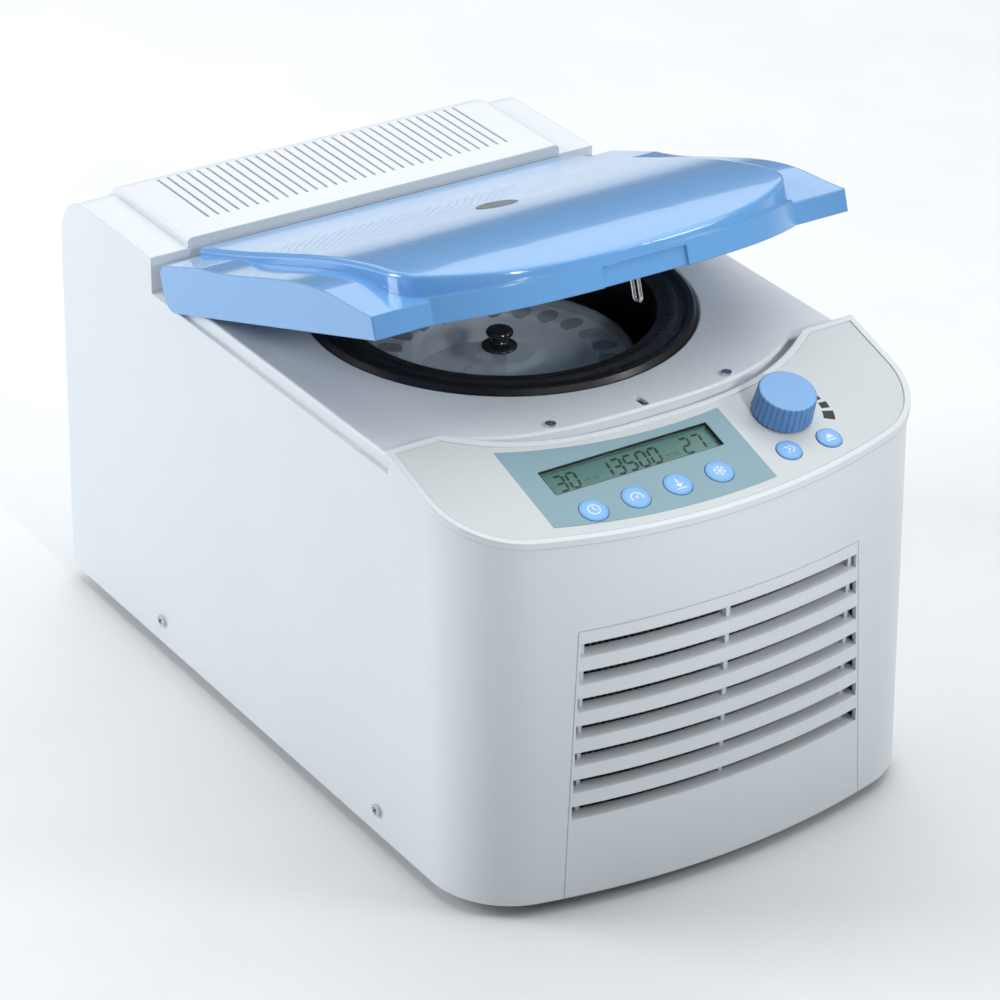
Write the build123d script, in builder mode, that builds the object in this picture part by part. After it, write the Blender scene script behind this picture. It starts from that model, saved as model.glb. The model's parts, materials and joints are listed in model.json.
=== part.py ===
"""Refrigerated bench-top micro-centrifuge, built as an assembly of separate named pieces.

Frame: millimetres, +Z up, -Y is the front. The origin is the centre of the footprint at the
underside of the rubber feet. The lid is modelled where it rests, partly open.
"""
import os
from math import asin, cos, degrees, hypot, radians, sin

from build123d import *

os.makedirs("parts", exist_ok=True)

# ---------------------------------------------------------------- driving dimensions
HALF_WIDTH = 145.0  # side walls
WALL = 3.0  # moulded casing wall
FOOT_HEIGHT = 8.0
BASE_Z = FOOT_HEIGHT  # lower edge of the casing
CHAMBER_Y = -3.2  # rotor axis
BACK_Y = CHAMBER_Y + 228.4  # rear face of the casing
FRONT_BOTTOM_Y = CHAMBER_Y - 222.0  # foremost point of the bowed front, at its lower edge
FRONT_TOP_Y = CHAMBER_Y - 213.5  # the same, at the control panel
CORNER_R = 47.0  # vertical front corners
BOW_CENTRE_Y = CHAMBER_Y + 221.0  # vertical axis of the bowed front

LEDGE_Z = BASE_Z + 219.5  # ledge that the closed lid's skirt comes down to
DECK_Z = BASE_Z + 227.6  # top of the deck around the chamber
SHOULDER_Z = BASE_Z + 241.0  # top of the rear hood's shoulders
VENT_TOP_Z = BASE_Z + 247.0  # top of the raised vent cover
HOOD_Y = CHAMBER_Y + 123.7  # front face of the rear hood
HOOD_R = 28.0  # rounding along the rear top edge
VENT_HALF_WIDTH = 121.8

PANEL_Y = CHAMBER_Y - 117.8  # rear edge of the control panel
PANEL_Z = BASE_Z + 233.5
PANEL_SLOPE = 0.30
PANEL_HALF_WIDTH = 146.5
PANEL_THICKNESS = 3.5
PANEL_ARM = 113.2  # where the panel's concave rear edge starts
ARC_APEX_Y = CHAMBER_Y - 144.6  # middle of that concave edge
LID_GROOVE = 6.0  # width of the groove that takes the lid's front skirt

BOWL_R = 84.0
RIM_R = 106.3  # outer radius of the rim gasket
RING_TOP_Z = DECK_Z + 2.6

HINGE_Y = CHAMBER_Y + 97.0
HINGE_Z = BASE_Z + 230.0
LID_OPEN_ANGLE = 19.1  # how far the lid stands open at rest
LID_HALF_WIDTH = 147.0
LID_BOTTOM_Z = BASE_Z + 219.9
LID_WALL = 3.0
CROWN_CORNER_R = 26.0
LID_RAISED_HALF_WIDTH = 121.0
LID_TIP_Y = CHAMBER_Y - 117.4
LID_BOW_Y = CHAMBER_Y - 143.0

ROTOR_TOP_Z = BASE_Z + 195.0
ROTOR_LID_Z = BASE_Z + 202.0
TUBE_COUNT = 24

BUTTON_PITCH = 25.75
BUTTON_DOWN = 76.2  # distance of the button row down the panel's slope
BUTTON_TRAVEL = 0.8
DIAL_X = 64.4
DIAL_DOWN = 50.8
DISPLAY_X = -30.2
DISPLAY_DOWN = 51.0

FAN_Z = BASE_Z + 78.0
FAN_R = 56.0

PANEL = Plane(origin=(0, PANEL_Y, PANEL_Z), x_dir=(1, 0, 0), z_dir=(0, -PANEL_SLOPE, 1))
HINGE_AXIS = Axis((0, HINGE_Y, HINGE_Z), (1, 0, 0))
ROTOR_AXIS = Axis((0, CHAMBER_Y, 0), (0, 0, 1))
BOW_AXIS = Axis((0, BOW_CENTRE_Y, 0), (0, 0, 1))


# ---------------------------------------------------------------- helpers
def save(piece, name):
    """Label a finished piece and write it as one STEP file."""
    piece.part.label = name
    export_step(piece.part, f"parts/{name}.step")


def panel_plane(height):
    """The sloped panel plane, moved along its normal."""
    return PANEL.offset(height)


def front_outline(half_width, front_y, back_y, corner_r):
    """Footprint: straight sides and back, rounded front corners and a bowed front."""
    bow_r = BOW_CENTRE_Y - front_y
    corner_x = half_width - corner_r
    corner_y = BOW_CENTRE_Y - ((bow_r - corner_r) ** 2 - corner_x**2) ** 0.5
    reach = bow_r / (bow_r - corner_r)
    joint = (corner_x * reach, BOW_CENTRE_Y + (corner_y - BOW_CENTRE_Y) * reach)
    middle_angle = (asin(corner_x / (bow_r - corner_r)) + radians(90)) / 2
    middle = (corner_x + corner_r * sin(middle_angle), corner_y - corner_r * cos(middle_angle))
    with BuildLine() as border:
        Line((-half_width, back_y), (half_width, back_y))
        Line((half_width, back_y), (half_width, corner_y))
        ThreePointArc((half_width, corner_y), middle, joint)
        ThreePointArc(joint, (0, front_y), (-joint[0], joint[1]))
        ThreePointArc((-joint[0], joint[1]), (-middle[0], middle[1]), (-half_width, corner_y))
        Line((-half_width, corner_y), (-half_width, back_y))
    make_face(border.edges())


FRONT_LEAN = (FRONT_TOP_Y - FRONT_BOTTOM_Y) / (PANEL_Z - BASE_Z - 30)


def front_y_at(height):
    """Foremost point of the bowed front at a height above the casing's lower edge."""
    return FRONT_BOTTOM_Y + FRONT_LEAN * height


def casing_volume(inset, extra_back, extra_down):
    """The casing's outer form, or with an inset the hollow inside it."""
    low = BASE_Z - extra_down
    high = VENT_TOP_Z + 10
    panel_low = PANEL.offset(-PANEL_THICKNESS - inset)
    rear_z = panel_low.origin.Z - (panel_low.origin.Y - PANEL_Y - inset) * PANEL_SLOPE
    nose_y = FRONT_BOTTOM_Y - 20
    nose_z = rear_z - (PANEL_Y + inset - nose_y) * PANEL_SLOPE
    back = BACK_Y - inset + extra_back
    top = SHOULDER_Z - inset
    round_r = HOOD_R - inset
    with BuildPart() as volume:
        with BuildSketch(Plane.XY.offset(low)):
            front_outline(HALF_WIDTH - inset, front_y_at(low - BASE_Z) + inset, back + 10, CORNER_R - inset)
        extrude(amount=(high - low) * hypot(1, FRONT_LEAN), dir=(0, FRONT_LEAN, 1))
        with BuildSketch(Plane.YZ):
            with BuildLine():
                Polyline(
                    (back - round_r, top), (HOOD_Y + inset, top), (HOOD_Y + inset, LEDGE_Z - inset),
                    (PANEL_Y + inset, LEDGE_Z - inset), (PANEL_Y + inset, rear_z), (nose_y, nose_z),
                    (nose_y, low), (back, low), (back, top - round_r),
                )
                RadiusArc((back - round_r, top), (back, top - round_r), round_r)
            make_face()
        extrude(amount=HALF_WIDTH + 10, both=True, mode=Mode.INTERSECT)
    return volume.part


def bow(arm_x, arm_y, apex_y):
    """The bowed edge shared by the lid's front, the deck's nose and the control panel's rear edge."""
    waist_x = 0.6 * arm_x
    waist_y = arm_y + 0.785 * (apex_y - arm_y)
    Spline((-arm_x, arm_y), (-waist_x, waist_y), (0, apex_y), (waist_x, waist_y), (arm_x, arm_y))


def nosed_outline(half_width, back_y, step_y, arm_x, apex_y, mode=Mode.ADD):
    """Plan of a rectangle whose front has two square shoulders and a bowed nose between them."""
    with BuildLine() as border:
        Polyline(
            (-arm_x, step_y), (-half_width, step_y), (-half_width, back_y), (half_width, back_y),
            (half_width, step_y), (arm_x, step_y),
        )
        bow(arm_x, step_y, apex_y)
    make_face(border.edges(), mode=mode)


def bow_region(arm_x, arm_y, apex_y, back_y, mode=Mode.ADD):
    """Plan of the area between a bowed edge and a straight edge behind it."""
    with BuildLine() as border:
        Polyline((-arm_x, arm_y), (-arm_x, back_y), (arm_x, back_y), (arm_x, arm_y))
        bow(arm_x, arm_y, apex_y)
    make_face(border.edges(), mode=mode)


def turned(points, axis, plane):
    """Turn a closed outline, given as (radius, height) points, about an axis."""
    with BuildSketch(plane) as profile:
        with BuildLine():
            Polyline(*points, close=True)
        make_face()
    revolve(profile.sketch, axis=axis)


ROTOR_PLANE = Plane(origin=(0, CHAMBER_Y, 0), x_dir=(1, 0, 0), z_dir=(0, -1, 0))

# ---------------------------------------------------------------- casing
GRILLE_ROWS = 7
GRILLE_TOP_Z = BASE_Z + 147.5
GRILLE_PITCH = 15.6
SLOT_HEIGHT = 7.6
GRILLE_HALF_TOP = 88.0
GRILLE_HALF_BOTTOM = 95.5
GRILLE_EDGE_Z = GRILLE_TOP_Z + 7.0
SEAM = 0.25
GRILLE_SPLAY = (GRILLE_HALF_BOTTOM - GRILLE_HALF_TOP) / (GRILLE_EDGE_Z - BASE_Z)


def grille_half_width(z):
    """Half width of the grille insert at a height."""
    return GRILLE_HALF_BOTTOM - GRILLE_SPLAY * (z - BASE_Z)


def grille_trapezoid(grow):
    """Front view of the grille insert, made larger all round by the seam."""
    low = BASE_Z - 5
    high = GRILLE_EDGE_Z + grow
    with BuildLine() as border:
        Polyline(
            (-grille_half_width(low) - grow, low), (grille_half_width(low) + grow, low),
            (grille_half_width(high) + grow, high), (-grille_half_width(high) - grow, high), close=True,
        )
    make_face(border.edges())


outer_form = casing_volume(0, 0, 0)
inner_form = casing_volume(WALL, 0, 5)
FRONT_VIEW = Plane(origin=(0, CHAMBER_Y - 150, 0), x_dir=(1, 0, 0), z_dir=(0, -1, 0))
SIDE_SCREWS = [(CHAMBER_Y + 120.9, BASE_Z + 15.0), (CHAMBER_Y - 109.2, BASE_Z + 15.0)]
VENT_WINDOW = (216.0, 66.0)
VENT_WINDOW_Y = CHAMBER_Y + 171.0
REAR_TOP = 206.0

with BuildPart() as main_casing:
    add(outer_form)
    add(inner_form, mode=Mode.SUBTRACT)
    # holes for the side screws
    for side in (-1, 1):
        for screw_y, screw_z in SIDE_SCREWS:
            hole_start = (side * (HALF_WIDTH + 2), screw_y, screw_z)
            with BuildSketch(Plane(origin=hole_start, x_dir=(0, 0, 1), z_dir=(side, 0, 0))):
                Circle(2.2)
            extrude(amount=-WALL - 4, mode=Mode.SUBTRACT)
    # opening under the deck, leaving a ledge for it to stand on
    with BuildSketch(Plane.XY.offset(LEDGE_Z - WALL - 5)):
        with Locations((0, (HOOD_Y + PANEL_Y + WALL) / 2)):
            Rectangle(2 * (HALF_WIDTH - 9), HOOD_Y - PANEL_Y - WALL)
    extrude(amount=WALL + 5, mode=Mode.SUBTRACT)
    # the deck's bowed front passes through the step, and the panel covers an open top
    with BuildSketch(Plane.XY.offset(LEDGE_Z - WALL - 5)):
        with Locations((0, PANEL_Y - 14)):
            Rectangle(2 * PANEL_ARM + 4, 44)
    extrude(amount=40, mode=Mode.SUBTRACT)
    with BuildSketch(Plane.XY.offset(BASE_Z + 170)):
        front_outline(HALF_WIDTH - 5, front_y_at(190) + 5, PANEL_Y - WALL, CORNER_R - 5)
    extrude(amount=90, mode=Mode.SUBTRACT)
    # window under the vent slots
    with BuildSketch(Plane.XY.offset(SHOULDER_Z - WALL - 5)):
        with Locations((0, VENT_WINDOW_Y)):
            Rectangle(*VENT_WINDOW)
    extrude(amount=WALL + 10, mode=Mode.SUBTRACT)
    # opening for the rear panel
    with BuildSketch(Plane(origin=(0, BACK_Y - WALL - 1, 0), x_dir=(-1, 0, 0), z_dir=(0, 1, 0))):
        with Locations((0, BASE_Z + REAR_TOP / 2 - 5)):
            Rectangle(2 * (HALF_WIDTH - WALL), REAR_TOP + 10)
    extrude(amount=WALL + 5, mode=Mode.SUBTRACT)
    # opening for the grille insert
    with BuildSketch(FRONT_VIEW):
        grille_trapezoid(SEAM)
    extrude(amount=100, mode=Mode.SUBTRACT)
save(main_casing, "main_casing")

# ---------------------------------------------------------------- front grille insert
BLADE_DEPTH = 8.0
BLADE_RISE = 0.9
BLADE_THICKNESS = 1.6
with BuildPart() as front_grille:
    add(outer_form)
    add(inner_form, mode=Mode.SUBTRACT)
    with BuildSketch(FRONT_VIEW):
        grille_trapezoid(0)
    extrude(amount=100, mode=Mode.INTERSECT)
    for row in range(GRILLE_ROWS):
        slot_top = GRILLE_TOP_Z - row * GRILLE_PITCH
        slot_middle = slot_top - SLOT_HEIGHT / 2
        slot_half = grille_half_width(slot_middle) - 1.6
        with BuildSketch(FRONT_VIEW):
            with Locations((0, slot_middle)):
                Rectangle(2 * slot_half, SLOT_HEIGHT)
        extrude(amount=100, mode=Mode.SUBTRACT)
    for row in range(GRILLE_ROWS):
        # a blade runs inwards from the lower edge of each slot, rising a little
        slot_low = GRILLE_TOP_Z - row * GRILLE_PITCH - SLOT_HEIGHT
        radius = BOW_CENTRE_Y - front_y_at(slot_low - BASE_Z)
        swing = degrees(asin((grille_half_width(slot_low) - 0.4) / radius))
        start = Plane(
            origin=(0, BOW_CENTRE_Y, 0), x_dir=(-sin(radians(swing)), -cos(radians(swing)), 0),
            z_dir=(-cos(radians(swing)), sin(radians(swing)), 0),
        )
        with BuildSketch(start):
            with BuildLine():
                Polyline(
                    (radius - 0.3, slot_low), (radius - 0.3, slot_low - BLADE_THICKNESS),
                    (radius - 1.5, slot_low - BLADE_THICKNESS),
                    (radius - BLADE_DEPTH, slot_low + BLADE_RISE - BLADE_THICKNESS),
                    (radius - BLADE_DEPTH, slot_low + BLADE_RISE), close=True,
                )
            make_face()
        revolve(axis=BOW_AXIS, revolution_arc=2 * swing)
    # upright ribs behind the bars: one in the middle and one at each end
    rib_low = GRILLE_TOP_Z - (GRILLE_ROWS - 1) * GRILLE_PITCH - SLOT_HEIGHT - 3
    with BuildSketch(Plane.XY.offset(rib_low)):
        for rib_x, rib_width in ((0, 2.6), (-84.5, 2.4), (84.5, 2.4)):
            rib_front = BOW_CENTRE_Y - ((BOW_CENTRE_Y - front_y_at(140)) ** 2 - rib_x**2) ** 0.5
            with Locations((rib_x, rib_front + 6.0)):
                Rectangle(rib_width, 6.5)
    extrude(amount=GRILLE_TOP_Z + 3 - rib_low)
save(front_grille, "front_grille")

# ---------------------------------------------------------------- rear vent cover
VENT_COUNT = 32
VENT_PITCH = 6.34
with BuildPart() as vent_cover:
    rise = VENT_TOP_Z - SHOULDER_Z
    vent_back = BACK_Y - 4.0
    with BuildSketch(Plane.YZ):
        with BuildLine():
            Polyline(
                (vent_back - HOOD_R, VENT_TOP_Z), (HOOD_Y, VENT_TOP_Z), (HOOD_Y, VENT_TOP_Z - HOOD_R),
                (vent_back, VENT_TOP_Z - HOOD_R),
            )
            RadiusArc((vent_back - HOOD_R, VENT_TOP_Z), (vent_back, VENT_TOP_Z - HOOD_R), HOOD_R)
        make_face()
    extrude(amount=VENT_HALF_WIDTH, both=True)
    add(outer_form, mode=Mode.SUBTRACT)
    top_edges = vent_cover.edges().filter_by(Axis.Y).group_by(Axis.Z)[-1]
    fillet(top_edges, 3.0)
    with BuildSketch(Plane.XY.offset(SHOULDER_Z - 5)):
        with Locations((0, VENT_WINDOW_Y - 2)):
            Rectangle(VENT_WINDOW[0], VENT_WINDOW[1] - 10)
    extrude(amount=5 + rise - 2.6, mode=Mode.SUBTRACT)
    with BuildSketch(Plane.XY.offset(SHOULDER_Z - 5)):
        with Locations((0, VENT_WINDOW_Y)):
            with GridLocations(VENT_PITCH, 1, VENT_COUNT, 1):
                Rectangle(1.4, 58)
    extrude(amount=20, mode=Mode.SUBTRACT)
save(vent_cover, "vent_cover")

# ---------------------------------------------------------------- base, feet and rear panel
FOOT_POINTS = [(x, y) for x in (-100, 100) for y in (CHAMBER_Y - 160, BACK_Y - 45)]
BASE_THICKNESS = 1.6
with BuildPart() as base_plate:
    with BuildSketch(Plane.XY.offset(BASE_Z + 1)):
        front_outline(HALF_WIDTH - WALL - 0.4, front_y_at(0) + 12, BACK_Y - WALL - 0.6, CORNER_R - 10)
        with Locations((0, CHAMBER_Y - 110)):
            with GridLocations(12, 9, 12, 4):
                SlotOverall(8, 3, mode=Mode.SUBTRACT)
    extrude(amount=BASE_THICKNESS)
    # side flanges that the casing screws bite into
    for side in (-1, 1):
        with BuildSketch(Plane.XY.offset(BASE_Z + 1)):
            with Locations((side * (HALF_WIDTH - WALL - 1.2), CHAMBER_Y)):
                Rectangle(BASE_THICKNESS, 290)
        extrude(amount=22)
    for screw_y, screw_z in SIDE_SCREWS:
        with BuildSketch(Plane.YZ.offset(-HALF_WIDTH)):
            with Locations((screw_y, screw_z)):
                Circle(1.6)
        extrude(amount=2 * HALF_WIDTH, mode=Mode.SUBTRACT)
    with BuildSketch(Plane.XY.offset(BASE_Z)):
        with Locations(*FOOT_POINTS):
            Circle(2.1)
    extrude(amount=5, mode=Mode.SUBTRACT)
save(base_plate, "base_plate")

with BuildPart() as rubber_feet:
    for foot_x, foot_y in FOOT_POINTS:
        foot_plane = Plane(origin=(foot_x, foot_y, 0), x_dir=(1, 0, 0), z_dir=(0, -1, 0))
        turned(
            [(0, 0), (9, 0), (10.5, 1.2), (12, FOOT_HEIGHT + 1), (2.0, FOOT_HEIGHT + 1), (2.0, 10.5),
             (0, 10.5)],
            Axis((foot_x, foot_y, 0), (0, 0, 1)), foot_plane,
        )
save(rubber_feet, "rubber_feet")

REAR_THICKNESS = 1.5
INLET_POINT = (-96.0, BASE_Z + 52.0)
SWITCH_POINT = (-96.0, BASE_Z + 96.0)
REAR_FAN = (20.0, BASE_Z + 112.0)
REAR_FACE_Y = BACK_Y - 1.5
REAR_VIEW = Plane(origin=(0, REAR_FACE_Y, 0), x_dir=(-1, 0, 0), z_dir=(0, 1, 0))
REAR_SCREWS = [(x, z) for x in (-132, 132) for z in (BASE_Z + 20, BASE_Z + 196)]
with BuildPart() as rear_panel:
    with BuildSketch(REAR_VIEW):
        with Locations((0, BASE_Z + 104)):
            RectangleRounded(2 * (HALF_WIDTH - WALL - 0.3), REAR_TOP - 2, 2)
        with Locations((-INLET_POINT[0], INLET_POINT[1])):
            Rectangle(28.4, 24.4, mode=Mode.SUBTRACT)
        with Locations((-SWITCH_POINT[0], SWITCH_POINT[1])):
            Rectangle(20.4, 28.4, mode=Mode.SUBTRACT)
        with Locations((-REAR_FAN[0], REAR_FAN[1])):
            with GridLocations(12, 14, 13, 11):
                SlotOverall(9, 4, mode=Mode.SUBTRACT)
        with Locations(*[(-x, z) for x, z in REAR_SCREWS]):
            Circle(1.7, mode=Mode.SUBTRACT)
    extrude(amount=-REAR_THICKNESS)
save(rear_panel, "rear_panel")


def pan_screw(plane, head_r, length):
    """One cross-recessed pan-head screw, its head standing on the plane's positive side."""
    head_h = head_r * 0.55
    with BuildSketch(plane) as head:
        Circle(head_r)
    extrude(head.sketch, amount=head_h)
    with BuildSketch(plane) as shank:
        Circle(head_r * 0.46)
    extrude(shank.sketch, amount=-length)
    with BuildSketch(plane.offset(head_h)) as recess:
        for turn in (45, 135):
            Rectangle(head_r * 1.2, head_r * 0.3, rotation=turn)
    extrude(recess.sketch, amount=-head_h * 0.6, mode=Mode.SUBTRACT)


with BuildPart() as side_screws:
    for screw_y, screw_z in SIDE_SCREWS:
        for side in (-1, 1):
            seat = Plane(origin=(side * HALF_WIDTH, screw_y, screw_z), x_dir=(0, 1, 0), z_dir=(side, 0, 0))
            pan_screw(seat, 3.4, 5.5)
save(side_screws, "side_screws")

with BuildPart() as rear_screws:
    for screw_x, screw_z in REAR_SCREWS:
        seat = Plane(origin=(screw_x, REAR_FACE_Y, screw_z), x_dir=(-1, 0, 0), z_dir=(0, 1, 0))
        pan_screw(seat, 2.6, 7)
save(rear_screws, "rear_screws")

# ---------------------------------------------------------------- mains inlet and power switch
with BuildPart() as inlet_socket:
    inlet = Plane(origin=(INLET_POINT[0], REAR_FACE_Y, INLET_POINT[1]), x_dir=(-1, 0, 0), z_dir=(0, 1, 0))
    with BuildSketch(inlet):
        RectangleRounded(32, 28, 3)
    extrude(amount=1.5)
    with BuildSketch(inlet):
        Rectangle(28, 24)
    extrude(amount=-24)
    with BuildSketch(inlet.offset(1.5)):
        with BuildLine():
            Polyline((-12, -8.3), (12, -8.3), (12, 4.5), (8.5, 8.3), (-8.5, 8.3), (-12, 4.5), close=True)
        make_face()
    extrude(amount=-18, mode=Mode.SUBTRACT)
    with BuildSketch(inlet.offset(-17)):
        with Locations((-7, -2.5), (0, 2.5), (7, -2.5)):
            Rectangle(2, 4)
    extrude(amount=15.5)
save(inlet_socket, "inlet_socket")

ROCKER_PIVOT_Y = REAR_FACE_Y - 4.5
ROCKER_TILT = 9.0
with BuildPart() as switch_frame:
    switch_x, switch_z = SWITCH_POINT
    switch = Plane(origin=(switch_x, REAR_FACE_Y, switch_z), x_dir=(-1, 0, 0), z_dir=(0, 1, 0))
    with BuildSketch(switch):
        RectangleRounded(24, 32, 2)
    extrude(amount=1.5)
    with BuildSketch(switch):
        Rectangle(20, 28)
    extrude(amount=-20)
    with BuildSketch(switch.offset(1.5)):
        Rectangle(15, 25)
    extrude(amount=-13.5, mode=Mode.SUBTRACT)
    with BuildSketch(Plane.YZ.offset(SWITCH_POINT[0])):
        with Locations((ROCKER_PIVOT_Y, SWITCH_POINT[1])):
            Circle(1.5)
    extrude(amount=9.0, both=True)
save(switch_frame, "switch_frame")

with BuildPart() as power_rocker:
    with BuildSketch(Plane.YZ.offset(switch_x)):
        with BuildLine():
            Polyline(
                (REAR_FACE_Y - 0.6, switch_z + 10.6), (REAR_FACE_Y - 2.0, switch_z),
                (REAR_FACE_Y - 0.6, switch_z - 10.6), (REAR_FACE_Y - 6.0, switch_z - 10.0),
                (REAR_FACE_Y - 8.6, switch_z), (REAR_FACE_Y - 6.0, switch_z + 10.0), close=True,
            )
        make_face()
    extrude(amount=7.0, both=True)
    with BuildSketch(Plane.YZ.offset(switch_x)):
        with Locations((ROCKER_PIVOT_Y, switch_z)):
            Circle(1.55)
    extrude(amount=8.0, both=True, mode=Mode.SUBTRACT)
ROCKER_AXIS = Axis((0, ROCKER_PIVOT_Y, switch_z), (1, 0, 0))
power_rocker.part = power_rocker.part.rotate(ROCKER_AXIS, ROCKER_TILT)
save(power_rocker, "power_rocker")

# ---------------------------------------------------------------- deck
DECK_SIDE = 142.5
DECK_FRONT_Y = PANEL_Y + 4.0
DECK_WALL = 2.6
GROOVE_FLOOR = 2.2
TROUGH_Y = CHAMBER_Y + 108.6
TROUGH_Z = LEDGE_Z - 10
SLOT_POINT = (0, CHAMBER_Y - 131.2)
HINGE_WELL_X = 122.0
HINGE_WELL = (25.0, 17.5)
DECK_SCREWS = [(-55.3, CHAMBER_Y - 130.0), (55.3, CHAMBER_Y - 130.0)]


def deck_plan(inset, back_y):
    """Plan of the raised deck, whose nose follows the lid's bowed front."""
    apex_y = ARC_APEX_Y + LID_GROOVE + inset
    nosed_outline(DECK_SIDE - inset, back_y, DECK_FRONT_Y + inset, PANEL_ARM - 5 - inset, apex_y)


with BuildPart() as deck:
    with BuildSketch(Plane.XY.offset(LEDGE_Z)):
        deck_plan(0, TROUGH_Y)
    extrude(amount=DECK_Z - LEDGE_Z)
    fillet(deck.faces().sort_by(Axis.Z)[-1].edges().sort_by(Axis.Y)[:-1], 1.6)
    with BuildSketch(Plane.XY.offset(LEDGE_Z - 1)):
        deck_plan(DECK_WALL, TROUGH_Y - DECK_WALL)
    extrude(amount=DECK_Z - LEDGE_Z + 1 - DECK_WALL, mode=Mode.SUBTRACT)
    # floor of the groove that takes the closed lid's skirt
    with BuildSketch(Plane.XY.offset(LEDGE_Z - GROOVE_FLOOR)):
        bow_region(PANEL_ARM + 1.6, PANEL_Y + 0.4, ARC_APEX_Y + 0.6, PANEL_Y + 30)
    extrude(amount=GROOVE_FLOOR)
    with BuildSketch(Plane.XY.offset(LEDGE_Z - GROOVE_FLOOR)):
        deck_plan(DECK_WALL, PANEL_Y + 40)
    extrude(amount=GROOVE_FLOOR, mode=Mode.SUBTRACT)
    # trough behind the lid's hinge line
    with BuildSketch(Plane.YZ):
        with BuildLine():
            Polyline(
                (TROUGH_Y - DECK_WALL, DECK_Z - DECK_WALL), (TROUGH_Y, DECK_Z - DECK_WALL),
                (TROUGH_Y, TROUGH_Z + 2), (HOOD_Y - 2.4, TROUGH_Z + 2), (HOOD_Y - 2.4, LEDGE_Z),
                (HOOD_Y - 0.3, LEDGE_Z), (HOOD_Y - 0.3, TROUGH_Z), (TROUGH_Y - DECK_WALL, TROUGH_Z),
                close=True,
            )
        make_face()
    extrude(amount=HALF_WIDTH - 10, both=True)
    # chamber opening with a bevelled rim
    with BuildSketch(Plane.XY.offset(LEDGE_Z - 5)):
        with Locations((0, CHAMBER_Y)):
            Circle(RIM_R + 0.2)
    extrude(amount=30, mode=Mode.SUBTRACT)
    rim_edges = deck.edges().filter_by(GeomType.CIRCLE).group_by(Axis.Z)[-1]
    chamfer(rim_edges, 1.2)
    # latch slot and screw holes
    with BuildSketch(Plane.XY.offset(LEDGE_Z - 5)):
        with Locations(SLOT_POINT):
            SlotOverall(10.6, 4.2, rotation=90)
        with Locations(*DECK_SCREWS):
            Circle(1.7)
        with Locations((-HINGE_WELL_X, HINGE_Y), (HINGE_WELL_X, HINGE_Y)):
            Rectangle(*HINGE_WELL)
    extrude(amount=30, mode=Mode.SUBTRACT)
save(deck, "deck")

with BuildPart() as deck_screws:
    for screw_x, screw_y in DECK_SCREWS:
        pan_screw(Plane(origin=(screw_x, screw_y, DECK_Z), x_dir=(1, 0, 0), z_dir=(0, 0, 1)), 2.9, 9)
save(deck_screws, "deck_screws")

# ---------------------------------------------------------------- chamber
BOWL_BOTTOM_Z = BASE_Z + 122.0
BOWL_INNER_R = 88.0
with BuildPart() as rim_gasket:
    turned(
        [(BOWL_R, DECK_Z - 5), (BOWL_R + 0.6, DECK_Z + 0.4), (BOWL_R + 5, RING_TOP_Z - 1.2),
         (BOWL_R + 8, RING_TOP_Z), (BOWL_R + 10, RING_TOP_Z), (BOWL_R + 12, RING_TOP_Z - 1.7),
         (RIM_R - 7.5, RING_TOP_Z - 1.8),
         (RIM_R - 5, RING_TOP_Z - 0.2), (RIM_R - 2.2, RING_TOP_Z - 0.2), (RIM_R, DECK_Z - 0.2),
         (RIM_R, DECK_Z - 5)],
        ROTOR_AXIS, ROTOR_PLANE,
    )
save(rim_gasket, "rim_gasket")

with BuildPart() as chamber_bowl:
    flange_z = DECK_Z - 5
    turned(
        [(RIM_R - 0.2, flange_z), (RIM_R - 0.2, flange_z - 1.2), (BOWL_INNER_R + 1.2, flange_z - 1.2),
         (BOWL_INNER_R + 1.2, BOWL_BOTTOM_Z + 14), (BOWL_INNER_R - 12, BOWL_BOTTOM_Z), (14, BOWL_BOTTOM_Z),
         (14, BOWL_BOTTOM_Z + 1.2), (BOWL_INNER_R - 12.5, BOWL_BOTTOM_Z + 1.2),
         (BOWL_INNER_R, BOWL_BOTTOM_Z + 14.5), (BOWL_INNER_R, flange_z)],
        ROTOR_AXIS, ROTOR_PLANE,
    )
save(chamber_bowl, "chamber_bowl")

COIL_R = 3.0
COIL_TURNS = 8
INSULATION_R = 103.5
with BuildPart() as evaporator_coil:
    for turn in range(COIL_TURNS):
        coil_z = BOWL_BOTTOM_Z + 22 + turn * 8.4
        with BuildSketch(ROTOR_PLANE):
            with Locations((BOWL_INNER_R + 1.2 + COIL_R, coil_z)):
                Circle(COIL_R)
        revolve(axis=ROTOR_AXIS)
save(evaporator_coil, "evaporator_coil")

with BuildPart() as chamber_insulation:
    wall_in = BOWL_INNER_R + 1.2 + 2 * COIL_R + 0.3
    turned(
        [(INSULATION_R, flange_z - 1.3), (INSULATION_R, BOWL_BOTTOM_Z - 8), (16, BOWL_BOTTOM_Z - 8),
         (16, BOWL_BOTTOM_Z - 0.2), (BOWL_INNER_R - 12, BOWL_BOTTOM_Z - 0.2), (wall_in, BOWL_BOTTOM_Z + 15),
         (wall_in, flange_z - 1.3)],
        ROTOR_AXIS, ROTOR_PLANE,
    )
save(chamber_insulation, "chamber_insulation")

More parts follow.
